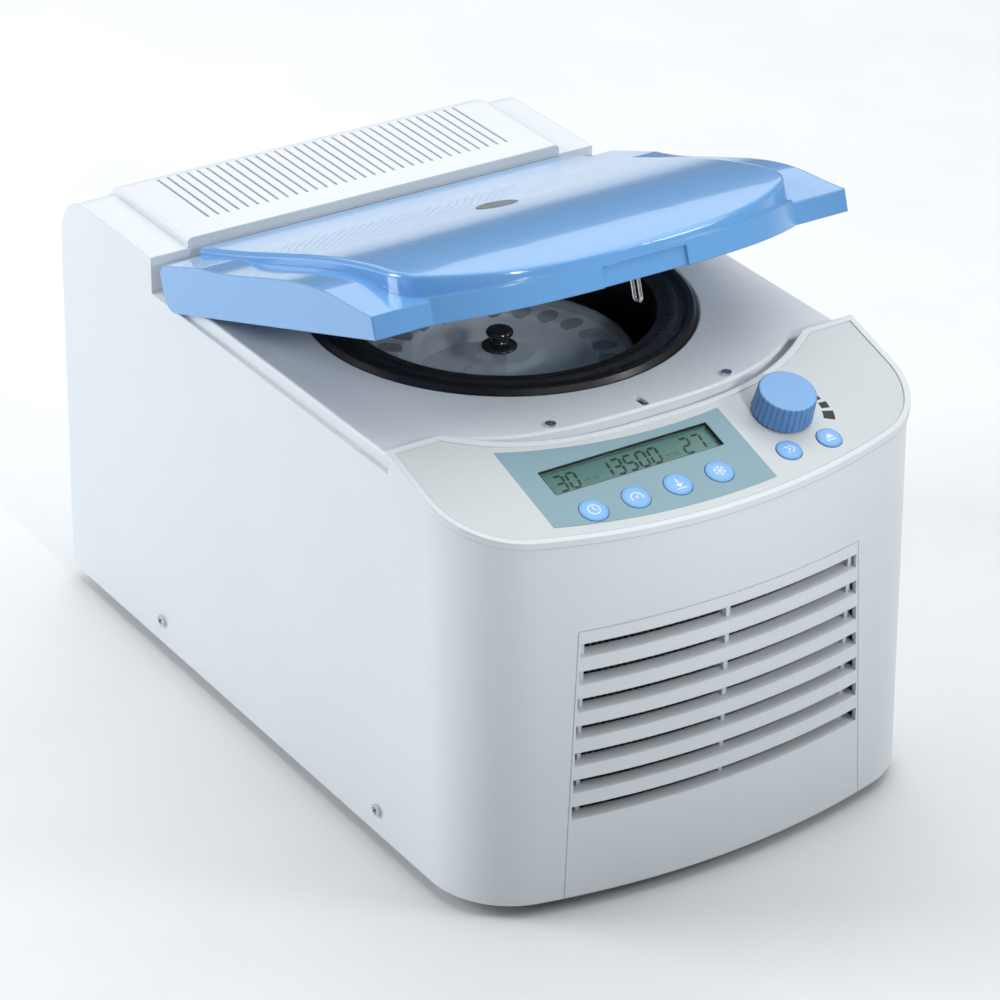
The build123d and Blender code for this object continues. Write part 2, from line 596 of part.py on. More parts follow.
# ---------------------------------------------------------------- drive motor
MOTOR_R = 40.0
MOTOR_LOW_Z = BASE_Z + 34.0
MOTOR_TOP_Z = BASE_Z + 104.0
SHAFT_R = 5.0
with BuildPart() as drive_motor:
    turned(
        [(SHAFT_R + 0.05, MOTOR_LOW_Z), (MOTOR_R, MOTOR_LOW_Z), (MOTOR_R, MOTOR_TOP_Z - 12),
         (MOTOR_R - 6, MOTOR_TOP_Z - 6), (13, MOTOR_TOP_Z - 4), (13, MOTOR_TOP_Z),
         (SHAFT_R + 0.05, MOTOR_TOP_Z)],
        ROTOR_AXIS, ROTOR_PLANE,
    )
    with BuildSketch(Plane.XY.offset(MOTOR_LOW_Z)):
        with Locations((0, CHAMBER_Y)):
            with PolarLocations(MOTOR_R, 12):
                Rectangle(3, 5)
    extrude(amount=46)
save(drive_motor, "drive_motor")

MOUNT_POINTS = [(x, CHAMBER_Y + y) for x in (-46, 46) for y in (-46, 46)]
with BuildPart() as motor_plate:
    with BuildSketch(Plane.XY.offset(MOTOR_LOW_Z - 3)):
        with Locations((0, CHAMBER_Y)):
            RectangleRounded(116, 116, 12)
            Circle(12, mode=Mode.SUBTRACT)
        with Locations(*MOUNT_POINTS):
            Circle(3, mode=Mode.SUBTRACT)
    extrude(amount=3)
save(motor_plate, "motor_plate")

COMPRESSOR_X = -56.0
COMPRESSOR_Y = CHAMBER_Y + 154.0
with BuildPart() as rubber_isolators:
    base_top = BASE_Z + 1 + BASE_THICKNESS
    for mount_x, mount_y in MOUNT_POINTS:
        mount_plane = Plane(origin=(mount_x, mount_y, 0), x_dir=(1, 0, 0), z_dir=(0, -1, 0))
        turned(
            [(0, base_top), (11, base_top), (8, base_top + 7), (8, MOTOR_LOW_Z - 10), (11, MOTOR_LOW_Z - 3),
             (0, MOTOR_LOW_Z - 3)],
            Axis((mount_x, mount_y, 0), (0, 0, 1)), mount_plane,
        )
    with BuildSketch(Plane.XY.offset(base_top)):
        with Locations((COMPRESSOR_X, COMPRESSOR_Y)):
            with GridLocations(96, 64, 2, 2):
                Circle(7)
    extrude(amount=8)
save(rubber_isolators, "rubber_isolators")

# ---------------------------------------------------------------- rotor
ROTOR_R = 72.0
HUB_Z = ROTOR_TOP_Z - 14
with BuildPart() as rotor_shaft:
    turned(
        [(0, MOTOR_LOW_Z + 4), (SHAFT_R, MOTOR_LOW_Z + 4), (SHAFT_R, HUB_Z - 34), (7.4, HUB_Z - 33),
         (7.4, HUB_Z - 14), (4.0, HUB_Z - 13), (4.0, ROTOR_LID_Z + 8), (0, ROTOR_LID_Z + 8)],
        ROTOR_AXIS, ROTOR_PLANE,
    )
save(rotor_shaft, "rotor_shaft")

TUBE_R = 5.6
TUBE_RING_R = 60.0
TUBE_TILT = 45.0
TUBE_DEPTH = 14.5
with BuildPart() as rotor:
    turned(
        [(4.1, ROTOR_TOP_Z - 10), (18, ROTOR_TOP_Z - 10), (22, ROTOR_TOP_Z - 14), (46, ROTOR_TOP_Z - 12),
         (55, ROTOR_TOP_Z), (ROTOR_R - 1, ROTOR_TOP_Z), (ROTOR_R, ROTOR_TOP_Z - 1),
         (ROTOR_R, ROTOR_TOP_Z - 8), (ROTOR_R - 4, ROTOR_TOP_Z - 14), (52, ROTOR_TOP_Z - 34),
         (26, ROTOR_TOP_Z - 40), (18, ROTOR_TOP_Z - 46), (7.6, ROTOR_TOP_Z - 46),
         (7.6, ROTOR_TOP_Z - 27), (4.1, ROTOR_TOP_Z - 26)],
        ROTOR_AXIS, ROTOR_PLANE,
    )
    for tube in range(TUBE_COUNT):
        angle = radians(360 / TUBE_COUNT * tube)
        outward = (cos(angle), sin(angle))
        lean = sin(radians(TUBE_TILT))
        start_r = TUBE_RING_R - 4
        mouth = Plane(
            origin=(start_r * outward[0], CHAMBER_Y + start_r * outward[1], ROTOR_TOP_Z + 4),
            x_dir=(-outward[1], outward[0], 0),
            z_dir=(-outward[0] * lean, -outward[1] * lean, cos(radians(TUBE_TILT))),
        )
        with BuildSketch(mouth):
            Circle(TUBE_R)
        extrude(amount=-TUBE_DEPTH, mode=Mode.SUBTRACT)
save(rotor, "rotor")

with BuildPart() as rotor_lid:
    # clear dished cover with a raised middle and a turned-down rim
    turned(
        [(4.2, ROTOR_LID_Z), (20, ROTOR_LID_Z), (26, ROTOR_LID_Z - 2.0), (44, ROTOR_LID_Z - 2.4),
         (48, ROTOR_LID_Z - 0.2), (ROTOR_R + 0.8, ROTOR_LID_Z - 1.6), (ROTOR_R + 2, ROTOR_LID_Z - 3),
         (ROTOR_R + 2, ROTOR_LID_Z - 8), (ROTOR_R + 0.6, ROTOR_LID_Z - 8),
         (ROTOR_R + 0.4, ROTOR_LID_Z - 3.4),
         (48, ROTOR_LID_Z - 2.0), (44, ROTOR_LID_Z - 4.2), (26, ROTOR_LID_Z - 3.8), (20, ROTOR_LID_Z - 1.8),
         (4.2, ROTOR_LID_Z - 1.8)],
        ROTOR_AXIS, ROTOR_PLANE,
    )
save(rotor_lid, "rotor_lid")

with BuildPart() as rotor_knob:
    # mushroom knob: broad flange, waist and rounded head
    low = ROTOR_LID_Z + 0.2
    turned(
        [(4.05, low), (9.7, low), (9.9, low + 1.2), (8.6, low + 2.4), (4.8, low + 3.2), (4.6, low + 6.4),
         (7.2, low + 7.4), (7.7, low + 8.8), (7.0, low + 10.6), (4.5, low + 11.4), (0, low + 11.6),
         (0, ROTOR_LID_Z + 8.1), (4.05, ROTOR_LID_Z + 8.1)],
        ROTOR_AXIS, ROTOR_PLANE,
    )
save(rotor_knob, "rotor_knob")

# ---------------------------------------------------------------- condenser, fan and compressor
CONDENSER_Y = FRONT_TOP_Y + 22.0
CONDENSER_LOW_Z = BASE_Z + 16.0
CONDENSER_HEIGHT = 132.0
CONDENSER_HALF = 80.0
CONDENSER_DEPTH = 18.0
FIN_COUNT = 40
with BuildPart() as condenser_fins:
    fin_pitch = 2 * CONDENSER_HALF / FIN_COUNT
    with BuildSketch(Plane.XY.offset(CONDENSER_LOW_Z)):
        with Locations((0, CONDENSER_Y + CONDENSER_DEPTH / 2)):
            with GridLocations(fin_pitch, 1, FIN_COUNT, 1):
                Rectangle(0.8, CONDENSER_DEPTH)
        with Locations((0, CONDENSER_Y + CONDENSER_DEPTH - 0.5)):
            Rectangle(2 * CONDENSER_HALF, 1.0)
    extrude(amount=CONDENSER_HEIGHT)
save(condenser_fins, "condenser_fins")

with BuildPart() as condenser_frame:
    for side in (-1, 1):
        with BuildSketch(Plane.XY.offset(BASE_Z + 1 + BASE_THICKNESS)):
            with Locations((side * (CONDENSER_HALF + 3.0), CONDENSER_Y + CONDENSER_DEPTH / 2)):
                Rectangle(2.0, CONDENSER_DEPTH)
        extrude(amount=CONDENSER_HEIGHT + 16)
    with BuildSketch(Plane.XY.offset(BASE_Z + 1 + BASE_THICKNESS)):
        with Locations((0, CONDENSER_Y + CONDENSER_DEPTH / 2)):
            Rectangle(2 * CONDENSER_HALF + 8, CONDENSER_DEPTH)
    extrude(amount=2)
save(condenser_frame, "condenser_frame")

SHROUD_FRONT_Y = CONDENSER_Y + CONDENSER_DEPTH + 2
FAN_PLANE = Plane(origin=(0, SHROUD_FRONT_Y, FAN_Z), x_dir=(1, 0, 0), z_dir=(0, 1, 0))
with BuildPart() as fan_shroud:
    with BuildSketch(FAN_PLANE):
        RectangleRounded(128, 128, 8)
        Circle(FAN_R + 3, mode=Mode.SUBTRACT)
    extrude(amount=26)
    with BuildSketch(FAN_PLANE.offset(23)):
        with PolarLocations(FAN_R / 2 + 8, 3):
            Rectangle(FAN_R + 6, 5)
        Circle(19)
        Circle(6, mode=Mode.SUBTRACT)
    extrude(amount=3)
save(fan_shroud, "fan_shroud")

with BuildPart() as fan_motor:
    with BuildSketch(FAN_PLANE.offset(26)):
        Circle(17)
    extrude(amount=14)
    with BuildSketch(FAN_PLANE.offset(23)):
        Circle(5.9)
    extrude(amount=3)
    with BuildSketch(FAN_PLANE.offset(20)):
        Circle(2.0)
    extrude(amount=4)
save(fan_motor, "fan_motor")

with BuildPart() as condenser_fan:
    with BuildSketch(FAN_PLANE.offset(5)):
        Circle(16)
    extrude(amount=16)
    with BuildSketch(FAN_PLANE.offset(19.5)):
        Circle(2.05)
    extrude(amount=3, mode=Mode.SUBTRACT)
    BLADES = 7
    for blade in range(BLADES):
        turn = radians(360 / BLADES * blade)
        outward = (cos(turn), 0, sin(turn))
        blade_plane = Plane(
            origin=(14 * outward[0], SHROUD_FRONT_Y + 13, FAN_Z + 14 * outward[2]),
            x_dir=(-outward[2], 0, outward[0]), z_dir=outward,
        )
        with BuildSketch(blade_plane):
            Rectangle(26, 1.8, rotation=32)
        with BuildSketch(blade_plane.offset(FAN_R - 15)):
            Rectangle(34, 1.8, rotation=20)
        loft()
save(condenser_fan, "condenser_fan")

with BuildPart() as compressor:
    compressor_plane = Plane(origin=(COMPRESSOR_X, COMPRESSOR_Y, 0), x_dir=(1, 0, 0), z_dir=(0, -1, 0))
    compressor_axis = Axis((COMPRESSOR_X, COMPRESSOR_Y, 0), (0, 0, 1))
    base_top = BASE_Z + 1 + BASE_THICKNESS
    turned(
        [(0, base_top + 10), (40, base_top + 10), (50, base_top + 22), (50, base_top + 62),
         (52.5, base_top + 62), (52.5, base_top + 66), (50, base_top + 66), (49, base_top + 92),
         (40, base_top + 108), (22, base_top + 116), (0, base_top + 118)],
        compressor_axis, compressor_plane,
    )
    with BuildSketch(Plane.XY.offset(base_top + 8)):
        with Locations((COMPRESSOR_X, COMPRESSOR_Y)):
            RectangleRounded(116, 84, 10)
    extrude(amount=3)
save(compressor, "compressor")

PIPE_R = 3.0


def pipe(points, radius):
    """A bent tube along straight runs joined by arcs."""
    with BuildLine() as route:
        FilletPolyline(*points, radius=radius)
    start = route.wires()[0]
    with BuildSketch(Plane(origin=start @ 0, z_dir=start % 0)) as section:
        Circle(PIPE_R)
    sweep(section.sketch, path=route.wires()[0])


PIPE_SIDE_X = -124.0
PIPE_FRONT_Y = CONDENSER_Y + 8
PIPE_INLET_Z = CONDENSER_LOW_Z + 118
with BuildPart() as discharge_pipe:
    pipe(
        [(COMPRESSOR_X, COMPRESSOR_Y, base_top + 118), (COMPRESSOR_X, COMPRESSOR_Y, base_top + 142),
         (PIPE_SIDE_X, COMPRESSOR_Y, base_top + 142), (PIPE_SIDE_X, PIPE_FRONT_Y, base_top + 142),
         (PIPE_SIDE_X, PIPE_FRONT_Y, PIPE_INLET_Z), (-CONDENSER_HALF - 4.1, PIPE_FRONT_Y, PIPE_INLET_Z)],
        10,
    )
save(discharge_pipe, "discharge_pipe")

with BuildPart() as suction_pipe:
    pipe(
        [(0, INSULATION_R + CHAMBER_Y + 0.2, BASE_Z + 150), (0, COMPRESSOR_Y - 8, BASE_Z + 150),
         (0, COMPRESSOR_Y - 8, BASE_Z + 48), (COMPRESSOR_X + 50.3, COMPRESSOR_Y - 8, BASE_Z + 48)],
        5.5,
    )
save(suction_pipe, "suction_pipe")

with BuildPart() as power_supply:
    with BuildSketch(Plane.XY.offset(base_top)):
        with Locations((84, CHAMBER_Y + 168)):
            Rectangle(96, 80)
    extrude(amount=62)
    fillet(power_supply.edges().filter_by(Axis.Z), 2)
    with BuildSketch(Plane.XY.offset(base_top + 66)):
        with Locations((84, CHAMBER_Y + 168)):
            with GridLocations(8, 30, 9, 2):
                SlotOverall(22, 4, rotation=90)
    extrude(amount=-8, mode=Mode.SUBTRACT)
save(power_supply, "power_supply")

with BuildPart() as main_board:
    with BuildSketch(Plane.YZ.offset(HALF_WIDTH - WALL - 8)):
        with Locations((CHAMBER_Y + 40, BASE_Z + 84)):
            RectangleRounded(170, 104, 3)
    extrude(amount=1.6)
    with BuildSketch(Plane.YZ.offset(HALF_WIDTH - WALL - 8)):
        with Locations((CHAMBER_Y + 2, BASE_Z + 60)):
            Rectangle(30, 22)
        with Locations((CHAMBER_Y + 60, BASE_Z + 108)):
            Rectangle(44, 26)
        with Locations((CHAMBER_Y + 98, BASE_Z + 66)):
            Circle(9)
            Circle(7, mode=Mode.SUBTRACT)
            Circle(5)
    extrude(amount=-12)
    # stand-offs to the casing wall
    with BuildSketch(Plane.YZ.offset(HALF_WIDTH - WALL - 6.4)):
        with Locations((CHAMBER_Y + 40, BASE_Z + 84)):
            with GridLocations(156, 92, 2, 2):
                RegularPolygon(3.2, 6)
    extrude(amount=6.4)
save(main_board, "main_board")

# ---------------------------------------------------------------- control panel
BUTTONS = [
    ("button_time", -2.0 - 2.64 * BUTTON_PITCH, 7.6), ("button_speed", -2.0 - 1.64 * BUTTON_PITCH, 7.6),
    ("button_force", -2.0 - 0.64 * BUTTON_PITCH, 7.6),
    ("button_temperature", -2.0 + 0.36 * BUTTON_PITCH, 7.6),
    ("button_quick", DIAL_X - BUTTON_PITCH / 2, 6.9), ("button_lid", DIAL_X + BUTTON_PITCH / 2, 6.9),
]
RECESS = 1.0
MEMBRANE = 0.5
DISPLAY_SIZE = (104.0, 17.8)
BUTTON_GAP = 0.35


def panel_outline(inset):
    """Plan of the control panel: rounded bowed front and a rear edge that is concave between two arms."""
    front_outline(PANEL_HALF_WIDTH - inset, FRONT_TOP_Y - 0.8 + inset, PANEL_Y - inset, CORNER_R - inset)
    bow_region(PANEL_ARM + inset, PANEL_Y - inset, ARC_APEX_Y - inset, PANEL_Y + 20, Mode.SUBTRACT)


def panel_slab(inset, top, bottom):
    """Slab of the panel's plan between two levels measured from the panel plane."""
    with BuildPart() as slab:
        with BuildSketch(Plane.XY.offset(BASE_Z + 150)):
            panel_outline(inset)
        extrude(amount=110)
        split(bisect_by=panel_plane(top), keep=Keep.BOTTOM)
        split(bisect_by=panel_plane(bottom), keep=Keep.TOP)
    return slab.part


def panel_openings(grow):
    """Display opening, button holes and dial hole, drawn on the panel plane."""
    with Locations((DISPLAY_X, -DISPLAY_DOWN)):
        RectangleRounded(DISPLAY_SIZE[0] + grow, DISPLAY_SIZE[1] + grow, 0.8)
    with Locations((DIAL_X, -DIAL_DOWN)):
        Circle(4.6)
    for _, button_x, button_r in BUTTONS:
        with Locations((button_x, -BUTTON_DOWN)):
            Circle(button_r + BUTTON_GAP)


OUTER_RIM = 3.4
SKIRT_INSET = 6.8
with BuildPart() as control_panel:
    add(panel_slab(0, 0, -PANEL_THICKNESS))
    top_face = control_panel.faces().sort_by(Axis((0, 0, 0), tuple(PANEL.z_dir)))[-1]
    fillet(top_face.edges(), 0.8)
    add(panel_slab(OUTER_RIM, 5, -RECESS), mode=Mode.SUBTRACT)
    # skirt that locates the panel inside the casing
    add(panel_slab(SKIRT_INSET, -PANEL_THICKNESS, -PANEL_THICKNESS - 5))
    add(panel_slab(SKIRT_INSET + 1.2, -PANEL_THICKNESS, -PANEL_THICKNESS - 6), mode=Mode.SUBTRACT)
    # wall along the lid groove
    with BuildSketch(Plane.XY.offset(LEDGE_Z + 0.2)):
        bow_region(PANEL_ARM, PANEL_Y - 1.6, ARC_APEX_Y - 1.8, PANEL_Y + 20)
        bow_region(PANEL_ARM, PANEL_Y, ARC_APEX_Y, PANEL_Y + 20, Mode.SUBTRACT)
    extrude(amount=4.2)
    with BuildSketch(panel_plane(2)):
        panel_openings(0)
    extrude(amount=-PANEL_THICKNESS - 3, mode=Mode.SUBTRACT)
save(control_panel, "control_panel")

with BuildPart() as panel_membrane:
    add(panel_slab(OUTER_RIM + 0.15, -RECESS + MEMBRANE, -RECESS))
    with BuildSketch(panel_plane(2)):
        panel_openings(0)
    extrude(amount=-5, mode=Mode.SUBTRACT)
save(panel_membrane, "panel_membrane")

LABEL_TOP = -RECESS + MEMBRANE
with BuildPart() as display_label:
    # printed label around the display: its upper edge follows the deck's nose, its lower edge the rim
    with BuildSketch(panel_plane(LABEL_TOP)):
        with BuildLine():
            ThreePointArc((-95.4, -21.6), (-30.6, -35.4), (34.2, -35.0))
            Line((34.2, -35.0), (34.0, -90.0))
            ThreePointArc((34.0, -90.0), (-30.6, -90.3), (-95.6, -79.2))
            Line((-95.6, -79.2), (-95.4, -21.6))
        make_face()
        with Locations((DISPLAY_X, -DISPLAY_DOWN)):
            RectangleRounded(DISPLAY_SIZE[0], DISPLAY_SIZE[1], 0.8, mode=Mode.SUBTRACT)
        for _, button_x, button_r in BUTTONS[:4]:
            with Locations((button_x, -BUTTON_DOWN)):
                Circle(button_r + BUTTON_GAP, mode=Mode.SUBTRACT)
    extrude(amount=0.25)
save(display_label, "display_label")

with BuildPart() as display_window:
    with BuildSketch(panel_plane(-2.9)):
        with Locations((DISPLAY_X, -DISPLAY_DOWN)):
            RectangleRounded(DISPLAY_SIZE[0] - 0.3, DISPLAY_SIZE[1] - 0.3, 0.7)
    extrude(amount=1.0)
save(display_window, "display_window")

with BuildPart() as lcd_module:
    with BuildSketch(panel_plane(-PANEL_THICKNESS - 0.1)):
        with Locations((DISPLAY_X, -DISPLAY_DOWN)):
            RectangleRounded(112, 24, 1.5)
    extrude(amount=-5.6)
    with BuildSketch(panel_plane(-PANEL_THICKNESS - 0.1)):
        with Locations((DISPLAY_X, -DISPLAY_DOWN)):
            Rectangle(DISPLAY_SIZE[0] - 0.6, DISPLAY_SIZE[1] - 0.6)
    extrude(amount=0.6)
save(lcd_module, "lcd_module")

BOARD_TOP = -11.4
with BuildPart() as display_board:
    with BuildSketch(panel_plane(BOARD_TOP)):
        with Locations((-4, -63)):
            RectangleRounded(186, 44, 3)
    extrude(amount=-1.6)
    with BuildSketch(panel_plane(BOARD_TOP)):
        for _, button_x, _ in BUTTONS:
            with Locations((button_x, -BUTTON_DOWN)):
                Rectangle(6, 6)
    extrude(amount=0.9)
save(display_board, "display_board")

BUTTON_TOP = -RECESS + MEMBRANE + 0.9
STEM_LOW = BOARD_TOP + 0.9 + BUTTON_TRAVEL + 0.15
for button_name, button_x, button_r in BUTTONS:
    with BuildPart() as button:
        with BuildSketch(panel_plane(-PANEL_THICKNESS - 1.5)):
            with Locations((button_x, -BUTTON_DOWN)):
                Circle(button_r + 0.9)
        extrude(amount=1.2)
        with BuildSketch(panel_plane(-PANEL_THICKNESS - 1.0)):
            with Locations((button_x, -BUTTON_DOWN)):
                Circle(button_r)
        extrude(amount=BUTTON_TOP + PANEL_THICKNESS + 1.0)
        panel_normal = Axis((0, 0, 0), tuple(PANEL.z_dir))
        fillet(button.edges().filter_by(GeomType.CIRCLE).sort_by(panel_normal)[-1], 0.5)
        with BuildSketch(panel_plane(-PANEL_THICKNESS - 1.4)):
            with Locations((button_x, -BUTTON_DOWN)):
                Circle(2.2)
        extrude(amount=STEM_LOW + PANEL_THICKNESS + 1.4)
    save(button, button_name)

# ---------------------------------------------------------------- push-and-turn dial
DIAL_HEIGHT = 15.0
DIAL_TOP_R = 15.6
DIAL_FOOT_R = 16.3
DIAL_LOW = 0.6
FLUTES = 26
DIAL_SHAFT_R = 3.0
dial_base = Plane(
    origin=PANEL.from_local_coords((DIAL_X, -DIAL_DOWN, 0)), x_dir=(1, 0, 0), z_dir=tuple(PANEL.z_dir)
)
dial_section = Plane(origin=dial_base.origin, x_dir=(1, 0, 0), z_dir=tuple(dial_base.y_dir * -1))
DIAL_AXIS = Axis(tuple(dial_base.origin), tuple(dial_base.z_dir))

with BuildPart() as dial_encoder:
    with BuildSketch(dial_base.offset(-PANEL_THICKNESS - 0.1)):
        RectangleRounded(14, 14, 1)
        Circle(DIAL_SHAFT_R + 0.08, mode=Mode.SUBTRACT)
    extrude(amount=-(-BOARD_TOP - PANEL_THICKNESS - 0.2))
    with BuildSketch(dial_base.offset(-PANEL_THICKNESS - 0.1)):
        Circle(4.4)
        Circle(DIAL_SHAFT_R + 0.08, mode=Mode.SUBTRACT)
    extrude(amount=PANEL_THICKNESS + 1.6)
save(dial_encoder, "dial_encoder")

with BuildPart() as dial_shaft:
    with BuildSketch(dial_base.offset(-9.5)):
        Circle(DIAL_SHAFT_R)
    extrude(amount=9.5 + DIAL_HEIGHT - 3)
save(dial_shaft, "dial_shaft")

with BuildPart() as control_dial:
    turned(
        [(DIAL_SHAFT_R + 0.05, 5), (7, 5), (7, 9), (12.5, 9), (13, DIAL_LOW), (DIAL_FOOT_R, DIAL_LOW),
         (DIAL_FOOT_R, 2), (DIAL_TOP_R, DIAL_HEIGHT - 0.8), (DIAL_TOP_R - 0.8, DIAL_HEIGHT),
         (0, DIAL_HEIGHT), (0, DIAL_HEIGHT - 2.9), (DIAL_SHAFT_R + 0.05, DIAL_HEIGHT - 2.9)],
        DIAL_AXIS, dial_section,
    )
    with BuildSketch(dial_base.offset(DIAL_LOW - 1)):
        with PolarLocations(DIAL_FOOT_R + 0.7, FLUTES):
            Circle(1.25)
    extrude(amount=DIAL_HEIGHT + 3, mode=Mode.SUBTRACT)
save(control_dial, "control_dial")

# ---------------------------------------------------------------- lid latch
STRIKER_WIRE_R = 1.0
STRIKER_LOW_Z = BASE_Z + 205.7
STRIKER_LEGS = (CHAMBER_Y - 127.6, CHAMBER_Y - 133.6)
STRIKER_Y = (STRIKER_LEGS[0] + STRIKER_LEGS[1]) / 2
BOLT_Z = STRIKER_LOW_Z + 2 * STRIKER_WIRE_R + 2.6
BOLT_SIDE = 3.0
BOLT_TIP_X = 2.9
POCKET_HALF = 2.3
with BuildPart() as latch_body:
    with BuildSketch(Plane.XY.offset(BASE_Z + 199)):
        with Locations((2, CHAMBER_Y - 131.5)):
            Rectangle(26, 19)
    extrude(amount=LEDGE_Z - GROOVE_FLOOR - 0.2 - BASE_Z - 199)
    with BuildSketch(Plane.XY.offset(LEDGE_Z - GROOVE_FLOOR - 0.3)):
        with Locations((-7.5, CHAMBER_Y - 129), (9.5, CHAMBER_Y - 129)):
            Rectangle(6, 8)
    extrude(amount=DECK_Z - DECK_WALL - 0.1 - LEDGE_Z + GROOVE_FLOOR + 0.3)
    with BuildSketch(Plane.XY.offset(BASE_Z + 203)):
        with Locations(SLOT_POINT):
            Rectangle(2 * POCKET_HALF, 12)
    extrude(amount=40, mode=Mode.SUBTRACT)
    with BuildSketch(Plane.YZ.offset(-8)):
        with Locations((STRIKER_Y, BOLT_Z)):
            Rectangle(BOLT_SIDE + 0.8, BOLT_SIDE + 0.8)
    extrude(amount=28, mode=Mode.SUBTRACT)
save(latch_body, "latch_body")

with BuildPart() as latch_bolt:
    with BuildSketch(Plane.YZ.offset(BOLT_TIP_X)):
        with Locations((STRIKER_Y, BOLT_Z)):
            Rectangle(BOLT_SIDE, BOLT_SIDE)
    extrude(amount=27)
    chamfer(latch_bolt.faces().sort_by(Axis.X)[0].edges(), 0.6)
save(latch_bolt, "latch_bolt")

with BuildPart() as latch_solenoid:
    with BuildSketch(Plane.YZ.offset(17)):
        with Locations((STRIKER_Y, BOLT_Z)):
            Rectangle(17, 12.6)
            Rectangle(BOLT_SIDE + 0.8, BOLT_SIDE + 0.8, mode=Mode.SUBTRACT)
    extrude(amount=26)
save(latch_solenoid, "latch_solenoid")

# ---------------------------------------------------------------- hinges
PIN_R = 2.5
KNUCKLE_R = 5.5
BRACKET_X = (112.5, 121.5)
ARM_X = (122.3, 131.0)
with BuildPart() as hinge_brackets:
    for side in (-1, 1):
        with BuildSketch(Plane.XY.offset(LEDGE_Z + 0.1)):
            with Locations((side * 122.5, HINGE_Y)):
                Rectangle(33, 17)
        extrude(amount=2)
        with BuildSketch(Plane.YZ.offset(side * BRACKET_X[0])):
            with Locations((HINGE_Y, HINGE_Z)):
                Circle(KNUCKLE_R)
            with Locations((HINGE_Y, (HINGE_Z + LEDGE_Z) / 2)):
                Rectangle(2 * KNUCKLE_R, HINGE_Z - LEDGE_Z - 0.2)
            with Locations((HINGE_Y, HINGE_Z)):
                Circle(PIN_R, mode=Mode.SUBTRACT)
        extrude(amount=side * (BRACKET_X[1] - BRACKET_X[0]))
save(hinge_brackets, "hinge_brackets")

with BuildPart() as hinge_pins:
    for side in (-1, 1):
        with BuildSketch(Plane.YZ.offset(side * (BRACKET_X[0] - 1))):
            with Locations((HINGE_Y, HINGE_Z)):
                Circle(PIN_R)
        extrude(amount=side * (ARM_X[1] + 1.5 - BRACKET_X[0] + 1))
save(hinge_pins, "hinge_pins")


# ---------------------------------------------------------------- lid, drawn closed and then opened
def opened(piece):
    """Turn a piece of the closed lid about the hinge to where the lid rests."""
    piece.part = piece.part.rotate(HINGE_AXIS, -LID_OPEN_ANGLE)


def lid_form(inset, extra_down):
    """Outer form of the closed lid, or with an inset the hollow inside it."""
    low = LID_BOTTOM_Z - extra_down
    tip_y = LID_TIP_Y + inset
    rear_y = HINGE_Y + 10.1 - inset
    with BuildPart() as form:
        # wings: full width, low at the front tips
        with BuildSketch(Plane.YZ):
            with BuildLine():
                Polyline((HINGE_Y, low), (tip_y, low), (tip_y, BASE_Z + 232.2 - inset))
                Spline(
                    (tip_y, BASE_Z + 232.2 - inset), (CHAMBER_Y - 98, BASE_Z + 236.7 - inset),
                    (CHAMBER_Y - 76, BASE_Z + 242.2 - inset), (CHAMBER_Y - 55, BASE_Z + 245.0 - inset),
                    (CHAMBER_Y - 22, BASE_Z + 246.0 - inset), (CHAMBER_Y + 57, BASE_Z + 247.0 - inset),
                )
                Polyline(
                    (CHAMBER_Y + 57, BASE_Z + 247.0 - inset), (rear_y - 5, BASE_Z + 246.2 - inset),
                    (rear_y, BASE_Z + 242.0 - inset), (rear_y, HINGE_Z),
                )
                diagonal = 0.5**0.5
                waist = (HINGE_Y + (rear_y - HINGE_Y) * diagonal, HINGE_Z - (HINGE_Z - low) * diagonal)
                ThreePointArc((rear_y, HINGE_Z), waist, (HINGE_Y, low))
            make_face()
        extrude(amount=LID_HALF_WIDTH - inset, both=True)
        # bowed front below the raised middle
        with BuildSketch(Plane.XY.offset(low)):
            bow_region(PANEL_ARM - 0.6 - inset, tip_y, LID_BOW_Y + inset, CHAMBER_Y - 90)
        extrude(amount=BASE_Z + 233.5 - inset - low)
    return form.part


def lid_crown(inset):
    """The raised middle of the lid, whose top falls gently towards the front."""
    rear_y = HINGE_Y + 10.1 - inset
    with BuildPart() as crown:
        with BuildSketch(Plane.XY.offset(BASE_Z + 225)) as crown_plan:
            bow_region(LID_RAISED_HALF_WIDTH - inset, CHAMBER_Y - 104 + inset, LID_BOW_Y + inset, rear_y)
            for side in (-1, 1):
                front_corner = crown_plan.vertices().sort_by(lambda corner: side * corner.X - corner.Y)[-1]
                fillet(front_corner, CROWN_CORNER_R - inset)
        extrude(amount=40)
        with BuildSketch(Plane.YZ):
            with BuildLine():
                Spline(
                    (CHAMBER_Y - 150, BASE_Z + 235.9 - inset), (CHAMBER_Y - 120, BASE_Z + 243.4 - inset),
                    (CHAMBER_Y - 80, BASE_Z + 249.6 - inset), (CHAMBER_Y - 8, BASE_Z + 251.6 - inset),
                    (rear_y + 6, BASE_Z + 250.4 - inset),
                )
                Polyline(
                    (rear_y + 6, BASE_Z + 250.4 - inset), (rear_y + 6, BASE_Z + 225),
                    (CHAMBER_Y - 150, BASE_Z + 225), (CHAMBER_Y - 150, BASE_Z + 235.9 - inset),
                )
            make_face()
        extrude(amount=LID_HALF_WIDTH, both=True, mode=Mode.INTERSECT)
    return crown.part


